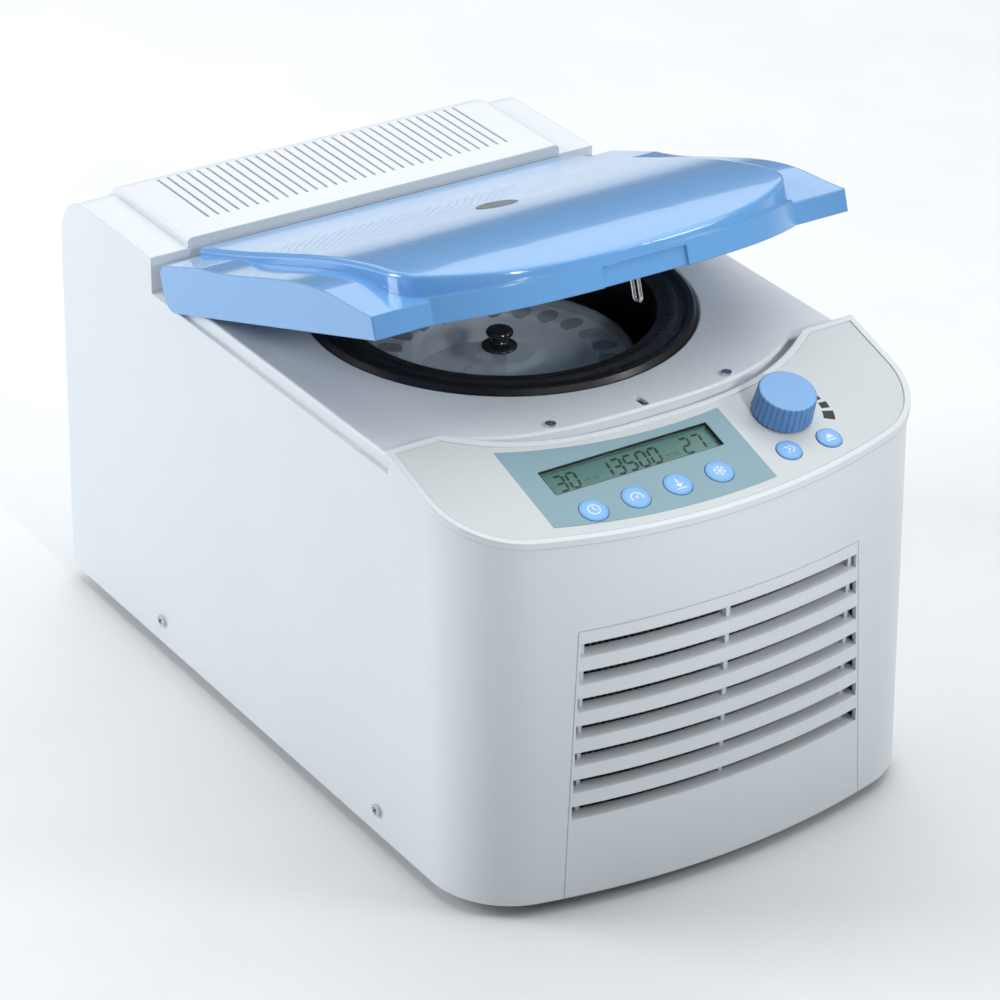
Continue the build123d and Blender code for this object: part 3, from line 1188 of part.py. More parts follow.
PORT_Y = CHAMBER_Y - 7.7
PORT_R = 11.5
LINER_Z = BASE_Z + 231.6
LID_SCREWS = [(x, CHAMBER_Y + y) for x in (-92, 92) for y in (-88, 66)]
FRONT_BOSS = 13.4
REAR_BOSS = 15.4
GRIP_HALF = 26.0
GRIP_TOP_Z = LID_BOTTOM_Z + 10.6
crown_form = lid_crown(0)
with BuildPart() as lid_shell:
    add(lid_form(0, 0))
    add(crown_form)
    crown_top = lid_shell.faces().sort_by(Axis.Z)[-1]
    fillet(crown_top.edges(), 2.6)
    add(lid_form(LID_WALL, 5), mode=Mode.SUBTRACT)
    add(lid_crown(LID_WALL), mode=Mode.SUBTRACT)
    # the rear stays open below the crown, to clear the deck as the lid turns
    with BuildSketch(Plane.YZ):
        with Locations((HINGE_Y + 10, (BASE_Z + 241 + LID_BOTTOM_Z) / 2 - 3)):
            Rectangle(16, BASE_Z + 241 - LID_BOTTOM_Z + 6)
    extrude(amount=LID_HALF_WIDTH - LID_WALL, both=True, mode=Mode.SUBTRACT)
    # screw bosses
    for screw_x, screw_y in LID_SCREWS:
        with BuildSketch(Plane.XY.offset(LINER_Z + 2)):
            with Locations((screw_x, screw_y)):
                Circle(4)
                Circle(1.3, mode=Mode.SUBTRACT)
        extrude(amount=FRONT_BOSS if screw_y < 0 else REAR_BOSS)
    # viewing port and finger recess
    with BuildSketch(Plane.XY.offset(BASE_Z + 240)):
        with Locations((0, PORT_Y)):
            Circle(PORT_R + 0.1)
    extrude(amount=30, mode=Mode.SUBTRACT)
    # the wall is a little thicker behind the finger recess
    with BuildSketch(Plane.XY.offset(LID_BOTTOM_Z)):
        with Locations((0, LID_BOW_Y + 3)):
            Rectangle(2 * GRIP_HALF + 4, 16)
        bow_region(PANEL_ARM - 3.6, LID_TIP_Y + 2.8, LID_BOW_Y + 2.8, LID_TIP_Y + 20, Mode.INTERSECT)
        bow_region(PANEL_ARM - 4.6, LID_TIP_Y + 3.8, LID_BOW_Y + 3.8, LID_TIP_Y + 20, Mode.SUBTRACT)
    extrude(amount=GRIP_TOP_Z + 1 - LID_BOTTOM_Z)
    with BuildSketch(Plane.XY.offset(LID_BOTTOM_Z - 1)):
        with Locations((0, LID_BOW_Y)):
            Rectangle(2 * GRIP_HALF, 20)
        bow_region(PANEL_ARM - 2.6, LID_TIP_Y + 1.8, LID_BOW_Y + 1.8, LID_TIP_Y + 20, Mode.SUBTRACT)
    extrude(amount=GRIP_TOP_Z + 1 - LID_BOTTOM_Z, mode=Mode.SUBTRACT)
opened(lid_shell)
save(lid_shell, "lid_shell")

with BuildPart() as lid_liner:
    with BuildSketch(Plane.XY.offset(LINER_Z)):
        bow_region(107, LID_TIP_Y + 6, LID_BOW_Y + 6.4, CHAMBER_Y + 84)
        with Locations((0, PORT_Y)):
            Circle(9, mode=Mode.SUBTRACT)
        with Locations(*LID_SCREWS):
            Circle(1.5, mode=Mode.SUBTRACT)
        with Locations(*[(0, y) for y in STRIKER_LEGS]):
            Circle(STRIKER_WIRE_R + 0.1, mode=Mode.SUBTRACT)
    extrude(amount=2)
    with BuildSketch(Plane.XY.offset(LINER_Z + 1)):
        with Locations((0, PORT_Y)):
            Circle(11)
            Circle(9, mode=Mode.SUBTRACT)
    extrude(amount=BASE_Z + 248.4 - LINER_Z - 1)
opened(lid_liner)
save(lid_liner, "lid_liner")

with BuildPart() as viewing_port:
    with BuildSketch(Plane.XY.offset(BASE_Z + 248.5)):
        with Locations((0, PORT_Y)):
            Circle(PORT_R)
    extrude(amount=3.3)
    fillet(viewing_port.edges().filter_by(GeomType.CIRCLE).sort_by(Axis.Z)[-1], 0.5)
opened(viewing_port)
save(viewing_port, "viewing_port")

with BuildPart() as lid_striker:
    with BuildLine(Plane.YZ) as loop:
        loop_z = STRIKER_LOW_Z + STRIKER_WIRE_R
        FilletPolyline(
            (STRIKER_LEGS[0], LINER_Z + 3.5), (STRIKER_LEGS[0], loop_z), (STRIKER_LEGS[1], loop_z),
            (STRIKER_LEGS[1], LINER_Z + 3.5), radius=2.2,
        )
    with BuildSketch(Plane(origin=(0, STRIKER_LEGS[0], LINER_Z + 3.5), z_dir=(0, 0, -1))):
        Circle(STRIKER_WIRE_R)
    sweep(path=loop.wires()[0])
    with BuildSketch(Plane.XY.offset(LINER_Z + 2)):
        with Locations((0, STRIKER_Y)):
            RectangleRounded(16, 12, 2)
    extrude(amount=1.6)
opened(lid_striker)
save(lid_striker, "lid_striker")

with BuildPart() as hinge_arms:
    for side in (-1, 1):
        with BuildSketch(Plane.YZ.offset(side * ARM_X[0])):
            with Locations((HINGE_Y, HINGE_Z)):
                Circle(KNUCKLE_R)
            with BuildLine():
                Polyline(
                    (HINGE_Y - 5.4, HINGE_Z), (HINGE_Y - 20, BASE_Z + 243.3), (HINGE_Y - 3, BASE_Z + 243.3),
                    (HINGE_Y + 5.0, HINGE_Z + 2.2), close=True,
                )
            make_face()
            with Locations((HINGE_Y, HINGE_Z)):
                Circle(PIN_R + 0.05, mode=Mode.SUBTRACT)
        extrude(amount=side * (ARM_X[1] - ARM_X[0]))
opened(hinge_arms)
save(hinge_arms, "hinge_arms")

with BuildPart() as lid_screws:
    for screw_x, screw_y in LID_SCREWS:
        pan_screw(Plane(origin=(screw_x, screw_y, LINER_Z), x_dir=(1, 0, 0), z_dir=(0, 0, -1)), 2.7, 9)
opened(lid_screws)
save(lid_screws, "lid_screws")
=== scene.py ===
"""Looks of the bench-top centrifuge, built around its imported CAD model.

Everything is in metres in the CAD's own frame: +Z up, -Y the front. Plain CAD pieces keep their
shape and get a procedural material; pieces that need rounder or finer meshes are rebuilt here.
"""
import json
import math

import bmesh
import bpy
from mathutils import Matrix, Vector


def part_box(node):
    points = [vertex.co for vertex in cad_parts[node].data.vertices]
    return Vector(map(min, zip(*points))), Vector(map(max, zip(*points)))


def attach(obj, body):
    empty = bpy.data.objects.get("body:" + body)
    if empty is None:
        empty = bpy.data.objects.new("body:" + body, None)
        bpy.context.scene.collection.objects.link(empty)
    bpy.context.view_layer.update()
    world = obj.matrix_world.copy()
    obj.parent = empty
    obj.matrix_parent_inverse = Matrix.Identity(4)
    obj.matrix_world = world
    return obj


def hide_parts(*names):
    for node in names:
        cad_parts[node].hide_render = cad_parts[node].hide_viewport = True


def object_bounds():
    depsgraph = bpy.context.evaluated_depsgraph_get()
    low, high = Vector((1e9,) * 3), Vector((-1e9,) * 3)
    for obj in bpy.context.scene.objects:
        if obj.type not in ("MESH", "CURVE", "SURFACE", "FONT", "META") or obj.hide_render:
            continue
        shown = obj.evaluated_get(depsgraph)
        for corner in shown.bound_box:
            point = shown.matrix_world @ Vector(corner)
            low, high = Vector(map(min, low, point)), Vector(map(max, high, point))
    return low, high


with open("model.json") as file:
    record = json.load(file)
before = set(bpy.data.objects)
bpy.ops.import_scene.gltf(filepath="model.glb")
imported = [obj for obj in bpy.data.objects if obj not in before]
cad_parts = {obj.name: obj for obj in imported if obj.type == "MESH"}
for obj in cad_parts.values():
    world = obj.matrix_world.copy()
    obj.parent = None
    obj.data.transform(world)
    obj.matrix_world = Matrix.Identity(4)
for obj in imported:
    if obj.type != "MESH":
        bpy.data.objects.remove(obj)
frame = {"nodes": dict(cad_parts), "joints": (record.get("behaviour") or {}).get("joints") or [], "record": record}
cad_low, cad_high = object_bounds()
nodes = frame["nodes"]
scene = bpy.context.scene
MM = 0.001


# ---------------------------------------------------------------- materials
class Shader:
    """A node material around one Principled BSDF, with short ways to add procedural detail."""

    def __init__(self, name, colour, roughness, **sockets):
        self.material = bpy.data.materials.new(name)
        self.material.use_nodes = True
        self.tree = self.material.node_tree
        self.nodes = self.tree.nodes
        self.bsdf = self.nodes["Principled BSDF"]
        self.bsdf.inputs["Base Color"].default_value = (*colour, 1)
        self.bsdf.inputs["Roughness"].default_value = roughness
        for socket, value in sockets.items():
            self.bsdf.inputs[socket.replace("_", " ")].default_value = value
        self.colour = colour
        self.roughness = roughness
        self.place = self.nodes.new("ShaderNodeTexCoord").outputs["Object"]

    def link(self, source, target):
        self.tree.links.new(source, target)

    def noise(self, scale, detail=3.0, stretch=None):
        """Noise in object space, with features of about 1/scale metres."""
        texture = self.nodes.new("ShaderNodeTexNoise")
        texture.inputs["Scale"].default_value = scale
        texture.inputs["Detail"].default_value = detail
        place = self.place
        if stretch:
            mapping = self.nodes.new("ShaderNodeMapping")
            mapping.inputs["Scale"].default_value = stretch
            self.link(place, mapping.inputs["Vector"])
            place = mapping.outputs["Vector"]
        self.link(place, texture.inputs["Vector"])
        return texture.outputs["Fac"]

    def ramp(self, value, low, high, dark, light):
        """Maps low..high of a value to dark..light."""
        node = self.nodes.new("ShaderNodeMapRange")
        node.inputs["From Min"].default_value = low
        node.inputs["From Max"].default_value = high
        node.inputs["To Min"].default_value = dark
        node.inputs["To Max"].default_value = light
        self.link(value, node.inputs["Value"])
        return node.outputs["Result"]

    def vary_colour(self, value, amount, low=0.3, high=0.7):
        """Darkens the base colour by up to amount where the value is low."""
        shade = self.ramp(value, low, high, 1 - amount, 1 + amount * 0.4)
        node = self.nodes.new("ShaderNodeMix")
        node.data_type = "RGBA"
        node.blend_type = "MULTIPLY"
        node.inputs["Factor"].default_value = 1
        node.inputs[6].default_value = (*self.colour, 1)
        self.link(shade, node.inputs[7])
        self.link(node.outputs[2], self.bsdf.inputs["Base Color"])

    def vary_roughness(self, value, amount, low=0.3, high=0.7):
        rough = self.ramp(value, low, high, self.roughness - amount, self.roughness + amount)
        self.link(rough, self.bsdf.inputs["Roughness"])

    def bump(self, value, height, strength=1.0, edge=0.0):
        """Raises the surface by up to height metres, and softens edges over a radius."""
        node = self.nodes.new("ShaderNodeBump")
        if edge:
            soft = self.nodes.new("ShaderNodeBevel")
            soft.samples = 6
            soft.inputs["Radius"].default_value = edge
            self.link(soft.outputs["Normal"], node.inputs["Normal"])
        node.inputs["Strength"].default_value = strength
        node.inputs["Distance"].default_value = height
        self.link(value, node.inputs["Height"])
        self.link(node.outputs["Normal"], self.bsdf.inputs["Normal"])


def plastic(name, colour, roughness, grain=2600, height=0.000012, edge=0.0, **sockets):
    """Moulded plastic: faint flow marks, uneven gloss and a fine spark-eroded grain."""
    shader = Shader(name, colour, roughness, **sockets)
    shader.vary_colour(shader.noise(9, 4), 0.025)
    shader.vary_roughness(shader.noise(34, 5), 0.035)
    shader.bump(shader.noise(grain, 2), height, edge=edge)
    return shader.material


def gloss(name, colour, roughness, edge=0.0, **sockets):
    """Polished moulded plastic with very slight waviness under a clear, glossy skin."""
    shader = Shader(name, colour, roughness, **sockets)
    shader.vary_colour(shader.noise(6, 3), 0.02)
    shader.vary_roughness(shader.noise(60, 6), 0.02)
    shader.bump(shader.noise(38, 2), 0.00003, 0.35, edge)
    return shader.material


def metal(name, colour, roughness, stretch=(1, 1, 1), scale=900, height=0.000006, **sockets):
    """Bare or plated metal with brush or turning marks along one direction."""
    shader = Shader(name, colour, roughness, **{"Metallic": 1.0, **sockets})
    marks = shader.noise(scale, 4, stretch)
    shader.vary_colour(shader.noise(40, 4), 0.06)
    shader.vary_roughness(marks, 0.09)
    shader.bump(marks, height)
    return shader.material


def enamel(name, colour, roughness, **sockets):
    """Painted metal with a light orange-peel surface."""
    shader = Shader(name, colour, roughness, **sockets)
    shader.vary_colour(shader.noise(12, 4), 0.03)
    shader.vary_roughness(shader.noise(80, 4), 0.04)
    shader.bump(shader.noise(420, 2), 0.00003, 0.5)
    return shader.material


def rubber(name, colour, roughness, **sockets):
    """Matt rubber with dust-like mottling and a fine grain."""
    shader = Shader(name, colour, roughness, **sockets)
    shader.vary_colour(shader.noise(120, 6), 0.25)
    shader.vary_roughness(shader.noise(55, 5), 0.08)
    shader.bump(shader.noise(1500, 3), 0.00003)
    return shader.material


def clear(name, colour, roughness, **sockets):
    """Transparent moulded plastic with faint ripples."""
    sockets = {"Transmission_Weight": 1.0, "IOR": 1.49, **sockets}
    shader = Shader(name, colour, roughness, **sockets)
    shader.vary_roughness(shader.noise(90, 4), 0.02)
    shader.bump(shader.noise(60, 2), 0.00002, 0.4)
    return shader.material


WHITE = (0.735, 0.785, 0.825)
PANEL_GREY = (0.63, 0.68, 0.69)
LOOKS = {
    "casing_white": plastic("moulded_white", WHITE, 0.34, edge=0.001),
    "membrane_grey": plastic("membrane_film", PANEL_GREY, 0.38, 3800, 0.000008),
    "label_teal": plastic("label_ink", (0.25, 0.40, 0.46), 0.42, 3800, 0.000006),
    "lcd_green": gloss("lcd_cell", (0.12, 0.27, 0.25), 0.3),
    "window_clear": clear("window_plastic", (0.93, 0.97, 0.95), 0.03, IOR=1.12),
    "clear_plastic": clear("rotor_cover_plastic", (0.66, 0.78, 0.88), 0.12, Transmission_Weight=0.0,
                           Alpha=0.26),
    "smoked_plastic": gloss("port_plastic", (0.05, 0.07, 0.09), 0.22),
    "button_blue": plastic("button_plastic", (0.19, 0.44, 0.80), 0.36, 3200, 0.000006),
    "dial_blue": plastic("dial_plastic", (0.11, 0.27, 0.56), 0.40, 2600, 0.00001),
    "lid_blue": gloss("lid_plastic", (0.15, 0.39, 0.76), 0.15, edge=0.0018, Coat_Weight=0.8,
                      Coat_Roughness=0.04),
    "liner_grey": plastic("liner_plastic", (0.42, 0.46, 0.50), 0.5),
    "black_rubber": rubber("seal_rubber", (0.006, 0.006, 0.008), 0.33),
    "black_plastic": plastic("black_plastic", (0.015, 0.015, 0.017), 0.4, 1800, 0.00002),
    "black_enamel": enamel("black_enamel", (0.008, 0.008, 0.010), 0.3),
    "white_enamel": enamel("white_enamel", (0.70, 0.74, 0.79), 0.34),
    "zinc_steel": metal("zinc_steel", (0.60, 0.61, 0.62), 0.38, (1, 14, 1)),
    "bright_steel": metal("bright_steel", (0.72, 0.72, 0.71), 0.2, (1, 1, 10)),
    "cast_alloy": metal("fin_alloy", (0.66, 0.67, 0.68), 0.36, (1, 1, 8)),
    "rotor_alloy": metal("rotor_alloy", (0.70, 0.76, 0.82), 0.4, (1, 1, 1), 260, Metallic=0.2),
    "copper_tube": metal("copper_tube", (0.78, 0.36, 0.20), 0.3, (1, 1, 1), 300),
    "foam": rubber("foam", (0.70, 0.62, 0.40), 0.85),
    "motor_grey": enamel("motor_enamel", (0.14, 0.15, 0.17), 0.45),
    "board_green": gloss("board_resist", (0.02, 0.13, 0.05), 0.3),
    "knob_black": gloss("knob_plastic", (0.016, 0.017, 0.021), 0.10, Coat_Weight=1.0),
}
# A lighter copy of the dial plastic for the dial's top face: painted light on the face turned to the lamps.
DIAL_TOP_PAINTED_LIGHT = plastic("dial_face_painted_light", (0.22, 0.44, 0.78), 0.42, 2600, 0.00001)
# A lighter copy of the button plastic for the domed button tops: painted light on the faces turned to the lamps.
BUTTON_FACE_PAINTED_LIGHT = plastic("button_face_painted_light", (0.24, 0.52, 0.90), 0.38, 3200, 0.000006)
WHITE_INK = plastic("white_ink", (0.80, 0.86, 0.90), 0.5, 4200, 0.000004)
BLACK_INK = plastic("black_ink", (0.018, 0.018, 0.020), 0.5, 4200, 0.000004)
LCD_INK = plastic("lcd_segment", (0.014, 0.026, 0.024), 0.45, 4200, 0.000003)
FAINT_INK = plastic("lcd_segment_faint", (0.10, 0.17, 0.13), 0.45, 4200, 0.000003)
# Near-black enamel for the cups that line the tube holes: painted shade inside the holes.
PAINTED_HOLE_SHADE = enamel("painted_hole_shade", (0.012, 0.014, 0.018), 0.32)
# Condenser fins made dark instead of bare alloy: painted shade for the dark inside behind the front vents.
FINS_PAINTED_SHADE = metal("condenser_fins_painted_shade", (0.16, 0.17, 0.18), 0.5, (1, 1, 8))
slot_of = {entry["node"]: entry["material_slot"] for entry in frame["record"]["subparts"]}

# Every CAD part gets the look of its slot; the condenser fins get the dark painted-shade metal instead.
for name, cad in nodes.items():
    cad.data.materials.clear()
    cad.data.materials.append(FINS_PAINTED_SHADE if name == "condenser_fins" else LOOKS[slot_of[name]])

# ---------------------------------------------------------------- places on the machine
joint_of = {joint["name"]: joint for joint in frame["joints"]}
UP = Vector((0, 0, 1))
NORMAL = Vector(joint_of["dial_turn"]["axis"]).normalized()
ACROSS = Vector((1, 0, 0))
DOWN = ACROSS.cross(NORMAL)  # down the panel's slope, towards the front


def crest(node, normal=NORMAL):
    """Middle of the face that lies furthest out along a normal."""
    corners = [vertex.co for vertex in nodes[node].data.vertices]
    top = max(corner.dot(normal) for corner in corners)
    face = [corner for corner in corners if corner.dot(normal) > top - 0.03 * MM]
    low_corner = Vector([min(corner[axis] for corner in face) for axis in range(3)])
    high_corner = Vector([max(corner[axis] for corner in face) for axis in range(3)])
    return (low_corner + high_corner) / 2


def on_panel(centre):
    """Turns plane millimetres (across, down the slope, height) about a centre into a place."""
    return lambda x, down, height: centre + (ACROSS * x + DOWN * down + NORMAL * height) * MM


def finish_piece(name, mesh, body, slot, *materials, smooth=True, angle=35):
    """Makes the object of a new piece, shades it and hangs it on its CAD body."""
    piece = bpy.data.objects.new(name, mesh)
    scene.collection.objects.link(piece)
    for material in materials:
        mesh.materials.append(material)
    if smooth:
        mesh.shade_smooth()
        mesh.set_sharp_from_angle(angle=math.radians(angle))
    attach(piece, body)
    return piece


def new_mesh(name, points, faces):
    mesh = bpy.data.meshes.new(name)
    mesh.from_pydata([tuple(point) for point in points], [], faces)
    mesh.validate()
    build = bmesh.new()
    build.from_mesh(mesh)
    bmesh.ops.recalc_face_normals(build, faces=build.faces)
    build.to_mesh(mesh)
    build.free()
    return mesh


def lathe(name, centre, axis, profile, steps=96):
    """Turns a closed or axis-to-axis outline of (radius, height) millimetres about an axis."""
    side = axis.orthogonal().normalized()
    other = axis.cross(side)
    points, rings = [], []
    for radius, height in profile:
        start = len(points)
        if radius < 1e-6:
            points.append(centre + axis * height * MM)
            rings.append([start] * steps)
            continue
        for step in range(steps):
            turn = 2 * math.pi * step / steps
            out = side * math.cos(turn) + other * math.sin(turn)
            points.append(centre + (axis * height + out * radius) * MM)
        rings.append(list(range(start, start + steps)))
    closed = profile[0][0] > 1e-6
    faces = []
    for row in range(len(rings) if closed else len(rings) - 1):
        below, above = rings[row], rings[(row + 1) % len(rings)]
        for step in range(steps):
            ahead = (step + 1) % steps
            corners = [below[step], below[ahead], above[ahead], above[step]]
            faces.append(list(dict.fromkeys(corners)))
    return new_mesh(name, points, [face for face in faces if len(face) > 2])


def rounded(points, radius, steps=4):
    """An outline with each inner corner replaced by a short arc-like curve."""
    result = [points[0]]
    for before, corner, after in zip(points, points[1:], points[2:]):
        corner_v, before_v, after_v = Vector(corner), Vector(before), Vector(after)
        cut_in = min(radius, (before_v - corner_v).length * 0.45)
        cut_out = min(radius, (after_v - corner_v).length * 0.45)
        first = corner_v + (before_v - corner_v).normalized() * cut_in
        last = corner_v + (after_v - corner_v).normalized() * cut_out
        for step in range(steps + 1):
            share = step / steps
            result.append(tuple(
                first * (1 - share) ** 2 + corner_v * 2 * share * (1 - share) + last * share**2
            ))
    return result + [points[-1]]


# ---------------------------------------------------------------- flat marks printed on a surface
class Ink:
    """Flat shapes in plane millimetres, raised by the thickness of a printed layer."""

    def __init__(self):
        self.shapes = []

    def polygon(self, corners):
        self.shapes.append([tuple(corner) for corner in corners])
        return self

    def bar(self, start, end, width, taper=1.0):
        """A straight stroke with square ends."""
        start, end = Vector(start), Vector(end)
        along = (end - start).normalized()
        side = Vector((-along.y, along.x)) * width / 2
        tip = side * taper
        return self.polygon([start - side, end - tip, end + tip, start + side])

    def arc(self, centre, radius, width, begin, stop, steps=20):
        """A curved stroke; angles in degrees from +x towards down."""
        previous = None
        for step in range(steps + 1):
            turn = math.radians(begin + (stop - begin) * step / steps)
            out = Vector((math.cos(turn), math.sin(turn)))
            inner = Vector(centre) + out * (radius - width / 2)
            outer = Vector(centre) + out * (radius + width / 2)
            if previous:
                self.polygon([*previous, outer, inner])
            previous = (inner, outer)
        return self

    def mesh(self, name, to_space, low, high):
        """Each shape as a closed thin prism between two heights."""
        points, faces = [], []
        for shape in self.shapes:
            start, count = len(points), len(shape)
            for height in (low, high):
                points += [to_space(across, down, height) for across, down in shape]
            low_ring = list(range(start, start + count))
            high_ring = [index + count for index in low_ring]
            faces += [low_ring[::-1], high_ring]
            for corner in range(count):
                after = (corner + 1) % count
                faces.append([
                    low_ring[corner], low_ring[after], high_ring[after], high_ring[corner]
                ])
        return new_mesh(name, points, faces)


# ---------------------------------------------------------------- display
SEGMENTS = {
    "0": "abcdef", "1": "bc", "2": "abged", "3": "abgcd", "4": "fgbc", "5": "afgcd", "6": "afgedc",
    "7": "abc", "8": "abcdefg", "9": "abcdfg", "-": "g",
}
DIGIT_WIDTH = 4.9
DIGIT_HEIGHT = 10.4
DIGIT_STROKE = 1.5
DIGIT_PITCH = 7.5
DIGIT_LEAN = 0.10
SEGMENT_GAP = 0.22
DIGIT_DROP = 0.4
NUMBERS = {"30": -43.0, "13500": -15.5, "27": 34.5}  # the first digit's place across the display
INK_HEIGHT = 0.06
DASH_HALF = 1.9
DASH_CENTRES = (-28.5, -23.5, 21.5, 26.5)
DASH_ROWS = ((2.6, 1.0), (4.4, 0.6))  # place down the display, width of the stroke
# Thin black walls round the display window's recess, painted shade for the dark lines at its edges: half height,
# stroke, and the low and high ends above the display.
RECESS_SHADE_HALF_HEIGHT = 8.75
RECESS_SHADE_STROKE = 0.35
RECESS_SHADE_LOW = 1.1
RECESS_SHADE_HIGH = 2.72


def digit(ink, character, x, down):
    """A seven-segment digit that leans to the right, its middle at a point."""
    half_w, half_h = DIGIT_WIDTH / 2, DIGIT_HEIGHT / 2
    ends = {
        "a": ((-half_w, -half_h), (half_w, -half_h)), "b": ((half_w, -half_h), (half_w, 0)),
        "c": ((half_w, 0), (half_w, half_h)), "d": ((-half_w, half_h), (half_w, half_h)),
        "e": ((-half_w, 0), (-half_w, half_h)), "f": ((-half_w, -half_h), (-half_w, 0)),
        "g": ((-half_w, 0), (half_w, 0)),
    }
    for segment in SEGMENTS[character]:
        start, end = (Vector(point) for point in ends[segment])
        along = (end - start).normalized()
        side = Vector((-along.y, along.x)) * DIGIT_STROKE / 2
        tip = along * DIGIT_STROKE / 2
        start, end = start + along * SEGMENT_GAP, end - along * SEGMENT_GAP
        outline = [
            start, start + tip + side, end - tip + side, end, end - tip - side, start + tip - side
        ]
        ink.polygon([(x + corner.x - DIGIT_LEAN * corner.y, down + corner.y) for corner in outline])


def number(ink, text, first_x):
    for place, character in enumerate(text):
        digit(ink, character, first_x + place * DIGIT_PITCH, DIGIT_DROP)


display = on_panel(crest("lcd_module"))
figures = Ink()
for text, first_x in NUMBERS.items():
    number(figures, text, first_x)
mesh = figures.mesh("lcd_figures", display, 0.0, INK_HEIGHT)
finish_piece("lcd_figures", mesh, "housing", "lcd_green", LCD_INK, smooth=False)
# Black walls lining the recess round the window: painted shade in the recess.
recess_shade = Ink()
opening_low, opening_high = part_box("display_window")
recess_shade_x = (opening_high.x - opening_low.x) / 2 / MM - 0.1
for side in (-1, 1):
    down = side * RECESS_SHADE_HALF_HEIGHT
    across = side * recess_shade_x
    recess_shade.bar((-recess_shade_x, down), (recess_shade_x, down), RECESS_SHADE_STROKE)
    recess_shade.bar((across, -RECESS_SHADE_HALF_HEIGHT), (across, RECESS_SHADE_HALF_HEIGHT), RECESS_SHADE_STROKE)
mesh = recess_shade.mesh("display_recess_shade", display, RECESS_SHADE_LOW, RECESS_SHADE_HIGH)
black = LOOKS["black_plastic"]
finish_piece("display_recess_shade", mesh, "housing", "black_plastic", black, smooth=False)
dashes = Ink()
for dash_x in DASH_CENTRES:
    for down, stroke in DASH_ROWS:
        dashes.bar((dash_x - DASH_HALF, down), (dash_x + DASH_HALF, down), stroke)
mesh = dashes.mesh("lcd_dashes", display, 0.0, 0.05)
finish_piece("lcd_dashes", mesh, "housing", "lcd_green", FAINT_INK, smooth=False)

# ---------------------------------------------------------------- button faces and their symbols
# Each symbol is drawn in millimetres about the middle of its button.
def clock_symbol(ink):
    ink.arc((0, 0), 3.2, 0.7, 0, 360, 36)
    ink.bar((0, 0.3), (0, -2.3), 0.7)
    ink.bar((-0.2, 0), (1.7, 0.9), 0.7)


def gauge_symbol(ink):
    ink.arc((0, 0.8), 3.3, 0.75, 155, 385, 30)
    ink.bar((-0.5, 1.3), (1.7, -1.2), 0.9, 0.4)
    ink.arc((0, 0.8), 0.55, 0.5, 0, 360, 16)


def force_symbol(ink):
    ink.bar((0, -3.4), (0, 0.6), 0.9)
    ink.polygon([(-2.1, 0.4), (2.1, 0.4), (0, 3.0)])
    ink.bar((-2.8, 3.6), (2.8, 3.6), 0.65)


def snow_symbol(ink):
    for turn in (90, 210, 330):
        out = Vector((math.cos(math.radians(turn)), math.sin(math.radians(turn))))
        side = Vector((-out.y, out.x))
        ink.bar(-out * 3.3, out * 3.3, 0.6)
        for way in (-1, 1):
            for hand in (-1, 1):
                ink.bar(out * way * 1.9, out * way * 3.0 + side * hand * 1.1, 0.45)


def quick_symbol(ink):
    for x in (-2.4, 0.3):
        ink.polygon([
            (x, -2.5), (x + 2.3, 0), (x, 2.5), (x + 0.9, 2.5), (x + 3.2, 0), (x + 0.9, -2.5)
        ])


def lid_symbol(ink):
    ink.polygon([(-2.7, 0.7), (0, -2.6), (2.7, 0.7)])
    ink.bar((-2.7, 2.1), (2.7, 2.1), 1.0)


SYMBOLS = {
    "button_time": clock_symbol, "button_speed": gauge_symbol, "button_force": force_symbol,
    "button_temperature": snow_symbol, "button_quick": quick_symbol, "button_lid": lid_symbol,
}
CAP_MARGIN = 2.2
FACE_FOOT = -0.05
SYMBOL_LOW = 0.1
SYMBOL_HIGH = 0.33
for node, draw in SYMBOLS.items():
    low_corner, high_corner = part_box(node)
    face_r = (high_corner.x - low_corner.x) / 2 / MM - CAP_MARGIN
    centre_of_cap = crest(node)
    outline = rounded(
        [(0, 0.28), (face_r * 0.55, 0.25), (face_r - 0.25, 0.14), (face_r, FACE_FOOT)], 1.2
    )
    mesh = lathe(node + "_face", centre_of_cap, NORMAL, outline + [(0, FACE_FOOT)], 48)
    # The dome takes the lighter copy of the button plastic: painted light.
    finish_piece(node + "_face", mesh, node + "_cap", "button_blue", BUTTON_FACE_PAINTED_LIGHT)
    symbol = Ink()
    draw(symbol)
    mesh = symbol.mesh(node + "_symbol", on_panel(centre_of_cap), SYMBOL_LOW, SYMBOL_HIGH)
    finish_piece(node + "_symbol", mesh, node + "_cap", "button_blue", WHITE_INK, smooth=False)

# ---------------------------------------------------------------- dial
DIAL_FLUTES = 30
FLUTE_STEPS = 12
FLUTE_DEPTH = 0.62
FLUTE_SHARPNESS = 1.6
DIAL_ROWS = [  # radius, height above the panel, share of the flute depth
    (15.2, 0.6, 0.0), (16.4, 0.62, 0.6), (16.5, 1.4, 1.0), (16.2, 5.0, 1.0), (15.95, 10.0, 1.0),
    (15.75, 13.6, 1.0), (15.6, 14.3, 0.9), (15.2, 14.8, 0.5), (14.6, 15.0, 0.12), (13.6, 15.02, 0.0),
    (9.0, 14.98, 0.0), (4.0, 14.94, 0.0),
]
DIAL_FACE_ROW = 7


